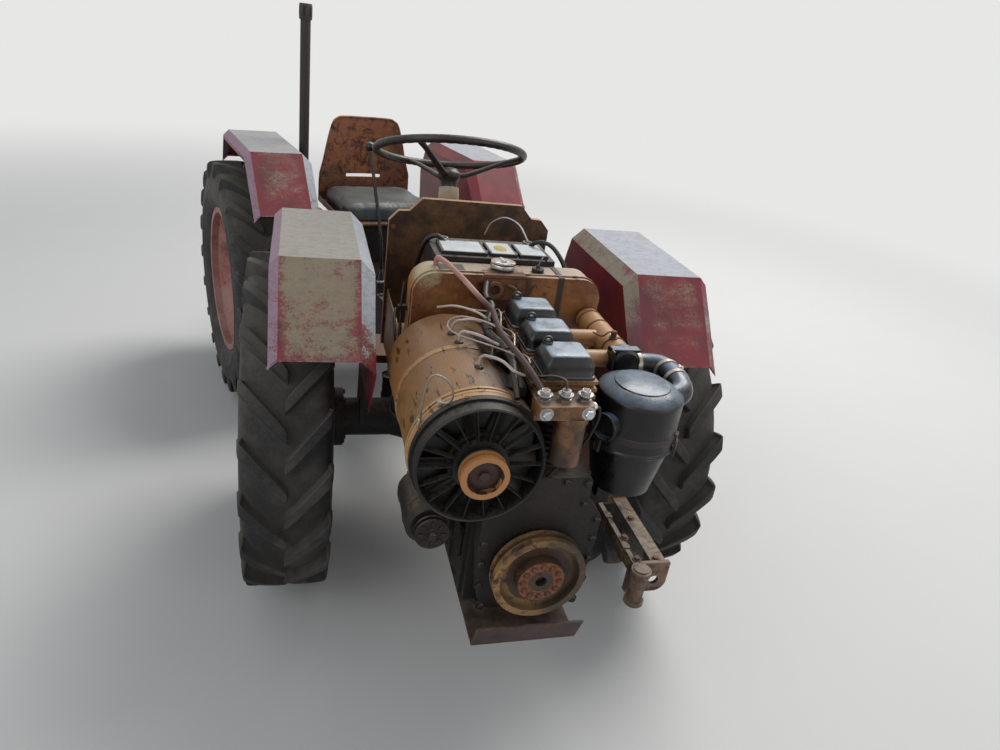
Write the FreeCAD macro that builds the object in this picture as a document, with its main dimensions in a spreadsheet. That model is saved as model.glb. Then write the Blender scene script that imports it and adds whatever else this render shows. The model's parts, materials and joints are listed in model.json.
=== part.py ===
import FreeCAD, Part
import math
import os
import re
import Sketcher

# Articulated farm tractor, bonnet missing, parked with its rear half swung to its right.
# Millimetres. Front faces -Y, +X is the tractor's left, +Z is up; heights count from the axle line.
# Pieces of the front half are drawn from the middle of the front axle.
# Pieces of the rear half are drawn straight behind the pivot, then swung by the bend.

Vector = FreeCAD.Vector
Rotation = FreeCAD.Rotation
Placement = FreeCAD.Placement

SIZES = [
    # wheels
    ("tyreRadius", 525), ("tyreWidth", 250), ("trackHalf", 575), ("rimRadius", 305), ("rimLip", 322),
    ("rimWidth", 200), ("hubRadius", 75), ("discOffset", 20), ("discThick", 10), ("ventRadius", 22),
    ("ventCircle", 190), ("lugLean", 15), ("lugWide", 44), ("lugRoot", 64),
    # lengths between the axles and the pivot
    ("pivotBack", 530), ("pivotToRear", 900), ("bend", 14.5),
    # wings
    ("wingGap", 107), ("wingInner", 354), ("wingOuter", 622), ("wingBevelIn", 38), ("wingBevelOut", 24),
    ("wingFront", 275), ("wingBack", 187), ("wingNose", 450), ("wingNoseDrop", 213), ("wingTail", 235),
    ("wingTailDrop", 122), ("wingSideLow", 205), ("wingLip", 16), ("sheet", 3),
    # engine
    ("crankHeight", 87), ("blockHalf", 150), ("blockFront", -800), ("blockBack", -338), ("blockTop", 235),
    ("blockLow", -55), ("sumpLow", -120), ("coverFront", -850), ("pitch", 133.5), ("caseTop", 337),
    ("caseLeft", 104), ("cylinderX", 16), ("cylinderY", -758), ("barrelRadius", 61), ("headHalf", 64),
    ("headLow", 503), ("headTop", 565), ("coverTop", 616), ("crankDisc", 113), ("crankFront", -900),
    ("crankThick", 40), ("crankShaft", 20), ("bellRadius", 180), ("seatGap", 0.3), ("ribThick", 8),
    # blower and its duct
    ("blowerX", -172), ("blowerZ", 385), ("blowerRadius", 144), ("blowerBore", 137), ("blowerFront", -870),
    ("blowerBack", -822), ("statorHub", 62), ("blowerShaft", 15), ("rotorRadius", 131), ("rotorHub", 70),
    ("rotorGap", 7), ("beltDisc", 53), ("beltFront", -912), ("ductRadius", 150), ("ductBack", -342),
    ("ductFace", -48), ("shaftFit", 0.05),
    # things bolted to the engine
    ("cleanerX", 222), ("cleanerY", -752), ("cleanerRadius", 102), ("cleanerTop", 525), ("cleanerLow", 255),
    ("elbowRadius", 29), ("elbowZ", 500), ("elbowOut", 40), ("manifoldX", 235), ("manifoldZ", 515),
    ("manifoldRadius", 34), ("manifoldFront", -618), ("portRadius", 22), ("filterX", 12), ("filterY", -864),
    ("filterRadius", 34), ("dynamoX", -250), ("dynamoZ", 170), ("dynamoRadius", 58), ("pumpX", -182),
    ("starterX", 205), ("starterZ", 100), ("starterRadius", 48), ("pipeRadius", 3.5), ("hoseRadius", 7),
    # carrier in front
    ("railOut", 85), ("railLow", 75), ("railDeep", 36), ("railFront", -940), ("crossBack", -560),
    # tank, battery and dash
    ("tankHalf", 262), ("tankFront", -335), ("tankBack", -240), ("tankTop", 627), ("tankLow", 275),
    ("tankCorner", 60), ("batteryLeft", 148), ("batteryRight", -188), ("batteryFront", -232),
    ("batteryBack", -64), ("batteryTop", 641), ("batteryLow", 420), ("dashFace", 200), ("dashFlange", 22),
    ("dashHalf", 270), ("dashTop", 687), ("sillLow", 175), ("sillTop", 375),
    # steering
    ("wheelX", -60), ("wheelY", 370), ("wheelZ", 805), ("wheelTilt", 20), ("wheelRadius", 246),
    ("gripRadius", 14), ("wheelDish", 80), ("spokeRadius", 9), ("columnRadius", 24), ("columnLength", 330),
    # axles, gearboxes and pivot
    ("axleTube", 62), ("axleBell", 88), ("axleEnd", 430), ("bellEnd", 250), ("hubFlange", 95), ("boxHalf", 140),
    ("boxFlange", 15), ("boxTop", 140), ("boxLow", -130), ("boxFront", -142), ("pivotPin", 25), ("earThick", 30),
    ("yokeHalf", 75), ("earGap", 5), ("earRadius", 62), ("trunnion", 45), ("sleeveWall", 25),
    ("sleeveBack", 150), ("runGap", 10), ("plateTop", 84),
    # steering cylinder
    ("anchorX", -230), ("anchorY", 215), ("eyeX", -118), ("eyeY", 30), ("ramRadius", 28), ("rodRadius", 14),
    ("eyeRadius", 24), ("ramLength", 200), ("ramPin", 11), ("lugGap", 34), ("jawGap", 19), ("lugThick", 12),
    # driver's place
    ("seatFront", 592), ("seatDepth", 400), ("seatHalf", 232), ("seatRise", 187), ("cushionThick", 75),
    ("cushionBack", 28), ("backRise", 306), ("backHalfTop", 150), ("backHalfLow", 222), ("backCurve", 720),
    ("panThick", 4), ("leverX", -110), ("leverY", 400), ("knobX", -137), ("knobY", 539), ("knobZ", 687),
    ("stackX", -312), ("stackY", 905), ("stackRadius", 21), ("stackTop", 1177),
    # lift linkage and power take-off
    ("shaftBack", 1010), ("liftHeight", 240), ("linkHeight", -140), ("liftArm", 240), ("linkLength", 640),
    ("linkX", 245), ("liftX", 190), ("liftShaft", 22), ("linkThick", 20), ("linkDeep", 62), ("ballBore", 11.2),
    ("ballWidth", 35), ("ballBack", 34), ("topLinkBore", 10), ("topLinkHalf", 34), ("ptoRadius", 17.4),
    ("ptoRoot", 20), ("ptoHeight", 35), ("drawbarBack", 1250), ("drawbarHole", 13),
]

WING_TOP = "(tyreRadius + wingGap)"
SEAT_TOP = "(liftHeight + seatRise)"
BACK_TOP = "(liftHeight + seatRise + backRise)"
BOX_BACK = "(pivotToRear + 130)"
CYLINDERS = 3
TYRE_STEPS = 24
TYRE_LUGS = 20

doc = FreeCAD.newDocument("Tractor")
sheet = doc.addObject("Spreadsheet::Sheet", "Sizes")
for row, (word, value) in enumerate(SIZES, start=1):
    sheet.set(f"A{row}", word)
    sheet.set(f"B{row}", str(value))
    sheet.setAlias(f"B{row}", word)
doc.recompute()

WORDS = {word for word, value in SIZES}
TURN = {"X": Rotation(Vector(0, 1, 0), 90), "Y": Rotation(Vector(1, 0, 0), -90), "Z": Rotation()}
nodes = []
count = {}


def ex(text):
    """Write a size's name as the sheet's cell."""
    def cell(found):
        word = found.group(0)
        return "Sizes." + word if word in WORDS else word
    return re.sub(r"[A-Za-z]+", cell, str(text))


def num(text):
    """The value of an expression, in millimetres or degrees."""
    return float(sheet.evalExpression(ex(text)))


def span(first, second):
    """Two expressions with the lower value first."""
    return sorted([str(first), str(second)], key=num)


def new(kind, name):
    """A new object whose name gets a number of its own."""
    count[name] = count.get(name, 0) + 1
    return doc.addObject(kind, f"{name}_{count[name]}")


def put(thing, x, y, z, turn=None):
    """Place an object by three expressions."""
    if turn is not None:
        thing.Placement = Placement(Vector(), turn)
    for axis, text in zip("xyz", (x, y, z)):
        thing.setExpression(f"Placement.Base.{axis}", ex(text))
    return thing


def block(name, x, y, z):
    """A box between two values on each axis."""
    thing = new("Part::Box", name)
    for side, (low, high) in zip(("Length", "Width", "Height"), (x, y, z)):
        thing.setExpression(side, ex(f"({high}) - ({low})"))
    return put(thing, x[0], y[0], z[0])


def along(at, axis, low):
    """Three coordinates from the two that an axis leaves, and the axis's own."""
    where = list(at)
    where.insert("XYZ".index(axis), low)
    return where


def bar(name, axis, at, radius, ends):
    """A round bar along an axis; at holds its other two coordinates, in X, Y, Z order."""
    thing = new("Part::Cylinder", name)
    thing.setExpression("Radius", ex(radius))
    thing.setExpression("Height", ex(f"({ends[1]}) - ({ends[0]})"))
    return put(thing, *along(at, axis, ends[0]), TURN[axis])


def taper(name, axis, at, radii, ends):
    """A cone along an axis."""
    thing = new("Part::Cone", name)
    thing.setExpression("Radius1", ex(radii[0]))
    thing.setExpression("Radius2", ex(radii[1]))
    thing.setExpression("Height", ex(f"({ends[1]}) - ({ends[0]})"))
    return put(thing, *along(at, axis, ends[0]), TURN[axis])


def elbow(name, x, y, z, bend, radius, start):
    """A level quarter bend of pipe round (x, y), from the angle start."""
    thing = new("Part::Torus", name)
    thing.setExpression("Radius1", ex(bend))
    thing.setExpression("Radius2", ex(radius))
    thing.Angle3 = 90
    return put(thing, x, y, z, Rotation(Vector(0, 0, 1), start))


def fuse(name, parts):
    thing = new("Part::MultiFuse", name)
    thing.Shapes = parts
    thing.Refine = True
    return thing


def cut(name, base, tool):
    thing = new("Part::Cut", name)
    thing.Base = base
    thing.Tool = tool
    thing.Refine = True
    return thing


def common(name, first, second):
    thing = new("Part::Common", name)
    thing.Base = first
    thing.Tool = second
    return thing


def tube(name, axis, at, outer, inner, ends):
    """A round tube, open at both ends."""
    wide = (f"({ends[0]}) - 1", f"({ends[1]}) + 1")
    return cut(name, bar(name, axis, at, outer, ends), bar(name, axis, at, inner, wide))


def turned_copies(name, thing, total, centre, axis):
    """Copies of one thing, spread evenly round an axis through a centre."""
    copies = []
    for i in range(total):
        copy = new("Part::Compound", name)
        copy.Links = [thing]
        copy.Placement = Placement(centre, Rotation(axis, 360 * i / total))
        copies.append(copy)
    return copies


def feature(name, shape):
    thing = new("Part::Feature", name)
    thing.Shape = shape
    return thing


def outline(corners, axis, level):
    """A closed wire through corners (u, v, radius); u and v are the other two axes in order."""
    def point(u, v):
        return Vector(*along((u, v), axis, level))
    total = len(corners)
    arcs = []
    for i, (u, v, radius) in enumerate(corners):
        here = Vector(u, v, 0)
        back = Vector(*corners[i - 1][:2], 0) - here
        ahead = Vector(*corners[(i + 1) % total][:2], 0) - here
        if radius <= 0:
            arcs.append((here, here, here))
            continue
        half = back.getAngle(ahead) / 2
        reach = radius / math.tan(half)
        back.normalize()
        ahead.normalize()
        middle = (back + ahead).normalize()
        top = here + middle * (radius / math.sin(half) - radius)
        arcs.append((here + back * reach, top, here + ahead * reach))
    edges = []
    for i, (start, top, end) in enumerate(arcs):
        if (end - start).Length > 1e-6:
            edges.append(Part.Arc(point(start.x, start.y), point(top.x, top.y), point(end.x, end.y)).toShape())
        following = arcs[(i + 1) % total][0]
        if (following - end).Length > 1e-6:
            edges.append(Part.LineSegment(point(end.x, end.y), point(following.x, following.y)).toShape())
    return Part.Wire(Part.__sortEdges__(edges))


def slab(name, axis, corners, ends):
    """A flat plate with rounded corners, along an axis."""
    low, high = num(ends[0]), num(ends[1])
    rounded = [(num(u), num(v), num(r)) for u, v, r in corners]
    face = Part.Face(outline(rounded, axis, low))
    return feature(name, face.extrude(Vector(*along((0, 0), axis, high - low))))


def loft(name, axis, sections):
    """A straight-sided solid through rounded outlines; each section is (level, corners)."""
    wires = []
    for level, corners in sections:
        wires.append(outline([(num(u), num(v), num(r)) for u, v, r in corners], axis, num(level)))
    return feature(name, Part.makeLoft(wires, True, True))


def flat_solid(loops):
    """A solid closed by flat faces, each given by its loop of corners."""
    shell = Part.makeShell([Part.Face(Part.makePolygon(loop + loop[:1])) for loop in loops])
    shell.sewShape()
    solid = Part.makeSolid(shell)
    if solid.Volume < 0:
        solid.reverse()
    return solid


def between(low, high):
    """The loops of a solid between two loops with as many corners."""
    total = len(low)
    sides = [[low[i], low[(i + 1) % total], high[(i + 1) % total], high[i]] for i in range(total)]
    return [low, high] + sides


def pipe(route, radius):
    """A round pipe along straight runs joined by arcs as large as the runs allow."""
    edges = []
    start = route[0]
    for before, here, after in zip(route, route[1:], route[2:]):
        back = before - here
        ahead = after - here
        reach = 0.45 * min(back.Length, ahead.Length)
        half = back.getAngle(ahead) / 2
        bend = reach * math.tan(half)
        back.normalize()
        ahead.normalize()
        middle = (back + ahead).normalize()
        first = here + back * reach
        last = here + ahead * reach
        top = here + middle * (bend / math.sin(half) - bend)
        edges.append(Part.LineSegment(start, first).toShape())
        edges.append(Part.Arc(first, top, last).toShape())
        start = last
    edges.append(Part.LineSegment(start, route[-1]).toShape())
    path = Part.Wire(edges)
    circle = Part.Wire(Part.makeCircle(radius, route[0], route[1] - route[0]))
    return path.makePipeShell([circle], True, False)


def sketch(body, name, role, points):
    """A closed sketch of straight lines whose corners follow the sheet."""
    plane = [part for part in body.Origin.OriginFeatures if part.Role == role][0]
    drawing = body.newObject("Sketcher::SketchObject", name)
    drawing.AttachmentSupport = (plane, "")
    drawing.MapMode = "FlatFace"
    places = [(num(u), num(v)) for u, v in points]
    total = len(places)
    for i, (u, v) in enumerate(places):
        after = places[(i + 1) % total]
        drawing.addGeometry(Part.LineSegment(Vector(u, v, 0), Vector(after[0], after[1], 0)), False)
    for i in range(total):
        drawing.addConstraint(Sketcher.Constraint("Coincident", i, 2, (i + 1) % total, 1))
    for i, pair in enumerate(points):
        for kind, text, value in zip(("DistanceX", "DistanceY"), pair, places[i]):
            index = drawing.addConstraint(Sketcher.Constraint(kind, -1, 1, i, 1, value))
            drawing.setExpression(f"Constraints[{index}]", ex(text))
    doc.recompute()
    return drawing


def turned(name, points):
    """A body turned about its own X axis from points (x, radius)."""
    body = doc.addObject("PartDesign::Body", name)
    drawing = sketch(body, name + "_outline", "XZ_Plane", points)
    solid = body.newObject("PartDesign::Revolution", name + "_turned")
    solid.Profile = drawing
    solid.ReferenceAxis = (drawing, ["H_Axis"])
    solid.Angle = 360
    doc.recompute()
    return body


def node(label, parts, place=None, joined=True):
    """One named piece: its parts fused, or kept side by side where they don't touch."""
    if joined and len(parts) > 1:
        thing = fuse(label, parts)
    else:
        thing = new("Part::Compound", label)
        thing.Links = parts
    thing.Label = label
    nodes.append((thing, place or Placement()))
    return thing


def rear_place():
    """The rear half swings about the upright line through the pivot."""
    pivot = Vector(0, num("pivotBack"), 0)
    return Placement(pivot, Rotation(Vector(0, 0, 1), num("bend")))


REAR = rear_place()


# Wheels


def rim(label, place):
    """A pressed wheel: hub, vented disc and well rim."""
    inner = "-rimWidth / 2"
    outer = "rimWidth / 2"
    near = "discOffset - discThick"
    hub = "axleEnd + seatGap - trackHalf"
    points = [
        (hub, "0"), (hub, "hubRadius"), (near, "hubRadius"),
        (near, "rimRadius - 60"), ("-rimWidth / 4", "rimRadius - 34"), (f"{inner} + 32", "rimRadius - 8"),
        (inner, "rimRadius - 6"), (inner, "rimLip"), (f"{inner} + 6", "rimLip"),
        (f"{inner} + 12", "rimRadius"), (f"{inner} + 36", "rimRadius"), ("-rimWidth / 4 + 6", "rimRadius - 26"),
        ("rimWidth / 4 - 6", "rimRadius - 26"), (f"{outer} - 36", "rimRadius"), (f"{outer} - 12", "rimRadius"),
        (f"{outer} - 6", "rimLip"), (outer, "rimLip"), (outer, "rimRadius - 6"),
        (f"{outer} - 32", "rimRadius - 8"),
        ("rimWidth / 4", "rimRadius - 34"), ("discOffset", "rimRadius - 60"), ("discOffset", "hubRadius"),
        ("discOffset + 28", "hubRadius - 8"), ("discOffset + 28", "0"),
    ]
    body = turned(label + "_body", points)
    vent = bar("vent", "X", ("0", "ventCircle"), "ventRadius", (f"{near} - 1", "discOffset + 1"))
    vents = turned_copies("vent_at", vent, 8, Vector(), Vector(1, 0, 0))
    node(label, [cut(label + "_vented", body, fuse(label + "_vents", vents))], place)


def tyre_shape():
    """A tyre in flat steps, with slanted lugs that lead from the shoulders to the middle."""
    step = math.radians(360 / TYRE_STEPS)
    half = num("tyreWidth / 2")
    lip = num("rimLip")
    wall = num("tyreRadius") - lip
    # x, radius
    side = [(num("rimWidth / 2 - 14"), num("rimRadius + seatGap")), (half, lip + 0.38 * wall),
            (0.9 * half, lip + 0.82 * wall)]
    profile = [(-x, r) for x, r in side] + side[::-1]
    rings = []
    for i in range(TYRE_STEPS):
        angle = (i + 0.5) * step
        reach = 1 / math.cos(step / 2)
        rings.append([Vector(x, r * reach * math.cos(angle), r * reach * math.sin(angle)) for x, r in profile])
    loops = []
    for i, ring in enumerate(rings):
        ahead = rings[(i + 1) % TYRE_STEPS]
        for j in range(len(profile)):
            k = (j + 1) % len(profile)
            loops.append([ring[j], ring[k], ahead[k], ahead[j]])
    carcass = flat_solid(loops)
    lean = math.tan(math.radians(num("lugLean") / 2))
    wide = num("lugWide") / 2
    square = 1 + lean * lean
    top = (math.sqrt(num("tyreRadius") ** 2 * square - wide * wide) - wide * lean) / square
    root = lip + 0.66 * wall
    outer = 0.94 * half
    slope = 2 * top * lean / (outer + 4)

    def lug(sign, shoulder):
        """A lug on one side; its middle lies half its lean past the shoulder's angle."""
        middle = math.radians(shoulder + num("lugLean") / 2)
        up = Vector(0, math.cos(middle), math.sin(middle))
        round_way = Vector(0, -math.sin(middle), math.cos(middle))
        loops = []
        for level, spread, nose, tail in ((root, num("lugRoot") / 2, 20, outer - 6), (top, wide, 4, outer)):
            loop = []
            for x, way in ((nose, -1), (nose, 1), (-tail, 1), (-tail, -1)):
                lead = top * lean + (x - 4) * slope
                loop.append(Vector(-sign * x, 0, 0) + up * level + round_way * (lead + way * spread))
            loops.append(loop)
        return flat_solid(between(*loops))

    lugs = []
    pitch = 360 / TYRE_LUGS
    for k in range(TYRE_LUGS):
        lugs.append(lug(1, 6 + pitch * k))
        lugs.append(lug(-1, 6 + pitch * (k + 0.5)))
    return carcass.multiFuse(lugs).removeSplitter()


def wheels():
    """Four equal wheels; the rims of a right side are turned round, its tyres half a lug on."""
    shape = tyre_shape()
    side = num("trackHalf")
    for half, y, base in (("front", 0, Placement()), ("rear", num("pivotToRear"), REAR)):
        for hand, sign in (("right", -1), ("left", 1)):
            at = base.multiply(Placement(Vector(sign * side, y, 0), Rotation()))
            turned = Placement(Vector(), Rotation(Vector(0, 0, 1), 90 - 90 * sign))
            rim(f"{half}_{hand}_rim", at.multiply(turned))
            half_lug = Rotation(Vector(1, 0, 0), (1 - sign) * 90 / TYRE_LUGS)
            node(f"{half}_{hand}_tyre", [feature("tyre_shape", shape)],
                 at.multiply(Placement(Vector(), half_lug)))


wheels()


# Wings


def wing(name, sign, axle):
    """One sheet-metal wing: sloped nose, flat top, short tail, folded edges and a full inner side."""
    side = [
        (f"{axle} - wingFront", f"{WING_TOP} - wingBevelIn", 0),
        (f"{axle} + wingBack", f"{WING_TOP} - wingBevelIn", 0),
        (f"{axle} + wingTail", f"{WING_TOP} - wingTailDrop - wingBevelIn", 0),
        (f"{axle} + 205", "wingSideLow", 0),
        (f"{axle} - 330", "wingSideLow", 0),
        (f"{axle} - wingNose", f"{WING_TOP} - wingNoseDrop - wingBevelIn", 0),
    ]
    plate = slab(name + "_side", "X", side, span(f"{sign} * wingInner", f"{sign} * (wingInner + sheet)"))
    # y from the axle, drop below the top
    sections = [
        ("-wingNose + wingLip", "wingNoseDrop + 4"), ("-wingNose", "wingNoseDrop"), ("-wingFront", "0"),
        ("wingBack", "0"), ("wingTail", "wingTailDrop"), ("wingTail - wingLip", "wingTailDrop + 4"),
    ]
    # x, drop below the top
    widths = [
        ("wingInner", "wingBevelIn"), ("wingInner + wingBevelIn", "0"), ("wingOuter - wingBevelOut", "0"),
        ("wingOuter", "wingBevelOut"), ("wingOuter", "wingBevelOut + wingLip"),
    ]
    thick = num("sheet")
    rows = []
    for y, drop in sections:
        level = num(f"{WING_TOP} - ({drop})")
        rows.append([Vector(sign * num(x), num(f"{axle} + ({y})"), level - num(fall)) for x, fall in widths])
    skin = []
    last = len(widths) - 2
    for j, (first, second) in enumerate(zip(rows, rows[1:])):
        for i in range(len(widths) - 1):
            folded_end = j in (0, len(sections) - 2)
            if i == last and folded_end:
                continue
            loop = [first[i], first[i + 1], second[i + 1], second[i]]
            way = Vector(-sign * thick, 0, 0) if i == last else Vector(0, 0, -thick)
            skin.append(Part.Face(Part.makePolygon(loop + loop[:1])).extrude(way))
    whole = skin[0].multiFuse(skin[1:]).removeSplitter()
    return fuse(name, [plate, feature(name + "_skin", whole)])


for half, axle, place in (("front", "0", None), ("rear", "pivotToRear", REAR)):
    pair = [wing(f"{half}_{hand}_wing", sign, axle) for hand, sign in (("right", -1), ("left", 1))]
    node(f"{half}_wings", pair, place, joined=False)


# Engine


def cylinder_y(i):
    return f"cylinderY + {i} * pitch"


def room(name, extra, face):
    """The space taken by the blower and, trimmed at the cylinders, by the duct behind it."""
    at = ("blowerX", "blowerZ")
    ring = bar(name + "_ring", "Y", at, f"blowerRadius + {extra}", ("blowerFront - 30", "blowerBack + 14"))
    barrel = bar(name + "_barrel", "Y", at, "ductRadius + seatGap", ("blowerBack - 1", "ductBack + 1"))
    rest = block(name + "_rest", (face, "200"), ("blowerBack - 2", "ductBack + 2"),
                 ("blowerZ - 2 * ductRadius", "blowerZ + 2 * ductRadius"))
    return fuse(name, [ring, cut(name + "_trimmed", barrel, rest)])


def engine():
    """Crankcase, sump, timing cover and clutch housing, with the pump and starter bolted on."""
    lower = block("crankcase", ("-blockHalf", "blockHalf"), ("blockFront", "blockBack"),
                  ("blockLow", "blockTop"))
    sump = loft("sump", "Z", [
        ("sumpLow", [("-100", "blockFront + 50", 20), ("100", "blockFront + 50", 20),
                     ("100", "blockBack - 60", 20),
                     ("-100", "blockBack - 60", 20)]),
        ("blockLow + 1", [("-130", "blockFront + 20", 20), ("130", "blockFront + 20", 20),
                          ("130", "blockBack - 20", 20), ("-130", "blockBack - 20", 20)])])
    cover = slab("timing_cover", "Y", [
        ("-125", "blockLow + 15", 40), ("125", "blockLow + 15", 40), ("blockHalf - 5", "crankHeight + 60", 30),
        ("blockHalf - 5", "blockTop - 10", 25), ("caseLeft", "blockTop + 40", 25), ("caseLeft", "caseTop", 15),
        ("-blockHalf + 5", "caseTop", 25), ("-blockHalf + 5", "crankHeight + 60", 30)],
                 ("coverFront", "blockFront"))
    upper = block("upper_case", ("-70", "caseLeft"), ("coverFront + 20", "blockBack"), ("blockTop", "caseTop"))
    parts = [lower, sump, cover, upper]
    parts.append(bar("bell", "Y", ("0", "crankHeight"), "bellRadius", ("blockBack", "boxFront")))
    parts.append(bar("bell_flange", "Y", ("0", "crankHeight"), "bellRadius + 10",
                     ("blockBack - 14", "blockBack + 2")))
    parts.append(bar("crank_nose", "Y", ("0", "crankHeight"), "38", ("coverFront - 6", "coverFront")))
    for sign in (-1, 1):
        out = span(f"{sign} * (blockHalf - 1)", f"{sign} * (blockHalf + ribThick)")
        for i in range(4):
            y = f"blockFront + 24 + {i} * pitch"
            parts.append(block("case_rib", out, (y, f"{y} + ribThick"), ("blockLow", "blockTop - 20")))
        for i in range(CYLINDERS):
            y = f"blockFront + 24 + ribThick + {i} * pitch + 24"
            parts.append(slab("case_door", "X", [(y, "crankHeight - 60", 14),
                                                 (f"{y} + pitch - 56", "crankHeight - 60", 14),
                                                 (f"{y} + pitch - 56", "crankHeight + 30", 14),
                                                 (y, "crankHeight + 30", 14)],
                              out))
    parts.append(bar("starter", "Y", ("starterX", "starterZ"), "starterRadius",
                     ("blockBack - 190", "blockBack - 7")))
    parts.append(bar("starter_cap", "Y", ("starterX", "starterZ"), "starterRadius - 6",
                     ("blockBack - 204", "blockBack - 189")))
    parts.append(bar("solenoid", "Y", ("starterX - 14", "starterZ + starterRadius + 22"), "25",
                     ("blockBack - 120", "blockBack - 7")))
    parts.append(slab("starter_foot", "Y", [("blockHalf - 2", "starterZ - 40", 10),
                                            ("starterX + 30", "starterZ - 40", 25),
                                            ("starterX + 30", "starterZ + 92", 25),
                                            ("blockHalf - 2", "starterZ + 92", 10)],
                      ("blockBack - 20", "blockBack - 4")))
    parts.append(slab("pump", "Y", [("pumpX - 34", "crankHeight + 20", 14),
                                    ("-blockHalf + 1", "crankHeight + 20", 0),
                                    ("-blockHalf + 1", "blockTop - 55", 0), ("pumpX - 34", "blockTop - 55", 14)],
                      ("blockFront + 168", "blockFront + 338")))
    for i in range(CYLINDERS):
        y = f"blockFront + 195 + {i} * 58"
        parts.append(bar("pump_barrel", "Z", ("pumpX", y), "15", ("blockTop - 56", "blockTop - 26")))
        parts.append(bar("pump_union", "Z", ("pumpX", y), "9", ("blockTop - 27", "blockTop - 12")))
    whole = fuse("engine", parts)
    bore = bar("crank_bore", "Y", ("0", "crankHeight"), "crankShaft", ("coverFront - 30", "coverFront + 40"))
    cradle = room("blower_room", "12", "ductFace + seatGap")
    node("engine_block", [cut("engine_bored", cut("engine_cradled", whole, cradle), bore)])


def cylinders():
    """Three finned barrels with their finned heads."""
    parts = []
    for i in range(CYLINDERS):
        y = cylinder_y(i)
        pieces = [bar("barrel", "Z", ("cylinderX", y), "barrelRadius - 12", ("caseTop", "headLow + 1"))]
        for k in range(10):
            low = f"caseTop + 8 + {k} * 15.6"
            pieces.append(bar("fin", "Z", ("cylinderX", y), "barrelRadius", (low, f"{low} + 6")))
        pieces.append(block("head", ("cylinderX - headHalf + 6", "cylinderX + headHalf - 6"),
                            (f"{y} - 52", f"{y} + 52"),
                            ("headLow", "headTop")))
        for k in range(4):
            low = f"headLow + {k} * 18"
            pieces.append(block("head_fin", ("cylinderX - headHalf", "cylinderX + headHalf"),
                                (f"{y} - 58", f"{y} + 58"),
                                (low, f"{low} + 8")))
        parts.append(fuse("cylinder", pieces))
    node("cylinders", parts, joined=False)


def valve_covers():
    """Three pressed covers with a step, a sloping crown and a filler boss each."""
    parts = []
    for i in range(CYLINDERS):
        y = cylinder_y(i)

        def ring(x, deep, radius):
            return [(f"cylinderX + {sx} * {x}", f"{y} + {sy} * {deep}", radius) for sx, sy in
                    ((-1, -1), (1, -1), (1, 1), (-1, 1))]

        foot = slab("cover_foot", "Z", ring(62, 54, 14), ("headTop", "headTop + 6"))
        crown = loft("cover_crown", "Z", [("headTop + 5", ring(58, 49, 14)), ("headTop + 24", ring(56, 47, 14)),
                                          ("coverTop", ring(47, 42, 12))])
        boss = bar("cover_boss", "Z", ("cylinderX - 36", f"{y} + 26"), "9", ("coverTop - 6", "coverTop + 9"))
        parts.append(fuse("valve_cover", [foot, crown, boss]))
    node("valve_covers", parts, joined=False)


def crank_pulley():
    """A dished belt pulley with a ring of its hub standing out, and a bore in the middle."""
    at = ("0", "crankHeight")
    back = "crankFront + crankThick"
    disc = bar("pulley_disc", "Y", at, "crankDisc", ("crankFront", back))
    groove = tube("pulley_groove", "Y", at, "crankDisc + 1", "crankDisc - 11",
                  ("crankFront + 16", "crankFront + 30"))
    hollow = bar("pulley_hollow", "Y", at, "crankDisc - 16", ("crankFront - 1", "crankFront + 18"))
    hub = bar("pulley_hub", "Y", at, "58", ("crankFront - 8", "crankFront + 20"))
    middle = bar("pulley_middle", "Y", at, "14", ("crankFront - 9", "crankFront + 14"))
    shaft = bar("pulley_shaft", "Y", at, "crankShaft - shaftFit", (back, "coverFront + 30"))
    dished = cut("pulley_dished", disc, fuse("pulley_cuts", [hollow, groove]))
    node("crank_pulley", [dished, cut("hub_bored", hub, middle), shaft])


def blower():
    """Inlet ring with fixed guide vanes, and the rotor behind them."""
    at = ("blowerX", "blowerZ")
    centre = Vector(num("blowerX"), 0, num("blowerZ"))
    level = Vector(0, 1, 0)
    ring = tube("blower_ring", "Y", at, "blowerRadius", "blowerBore", ("blowerFront", "blowerBack"))
    lip = tube("blower_lip", "Y", at, "blowerRadius + 6", "blowerBore", ("blowerBack - 16", "blowerBack"))
    hub = tube("stator_hub", "Y", at, "statorHub", "blowerShaft", ("blowerFront + 2", "blowerFront + 20"))
    vane = block("vane", ("statorHub - 3", "blowerBore + 2"), ("blowerFront + 3", "blowerFront + 19"),
                 ("-1", "1"))
    node("blower_housing", [ring, lip, hub] + turned_copies("vane_at", vane, 18, centre, level))
    belt = bar("belt_disc", "Y", at, "beltDisc", ("beltFront", "beltFront + 34"))
    groove = tube("belt_groove", "Y", at, "beltDisc + 1", "beltDisc - 9", ("beltFront + 11", "beltFront + 23"))
    recess = bar("belt_recess", "Y", at, "beltDisc - 14", ("beltFront - 1", "beltFront + 16"))
    shaft = bar("rotor_shaft", "Y", at, "blowerShaft - shaftFit", ("beltFront + 10", "blowerBack - rotorGap"))
    wheel = bar("rotor_hub", "Y", at, "rotorHub", ("blowerFront + 25", "blowerBack - rotorGap"))
    blade = block("blade", ("rotorHub - 4", "rotorRadius"), ("-13", "13"), ("-2", "2"))
    pitched = new("Part::Compound", "blade_pitched")
    pitched.Links = [blade]
    pitched.Placement = Placement(Vector(0, num("(blowerFront + 25 + blowerBack - rotorGap) / 2"), 0),
                                  Rotation(Vector(1, 0, 0), 50))
    dished = cut("belt_dished", belt, fuse("belt_cuts", [recess, groove]))
    node("blower_rotor", [dished, shaft, wheel] + turned_copies("blade_at", pitched, 10, centre, level))


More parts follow.
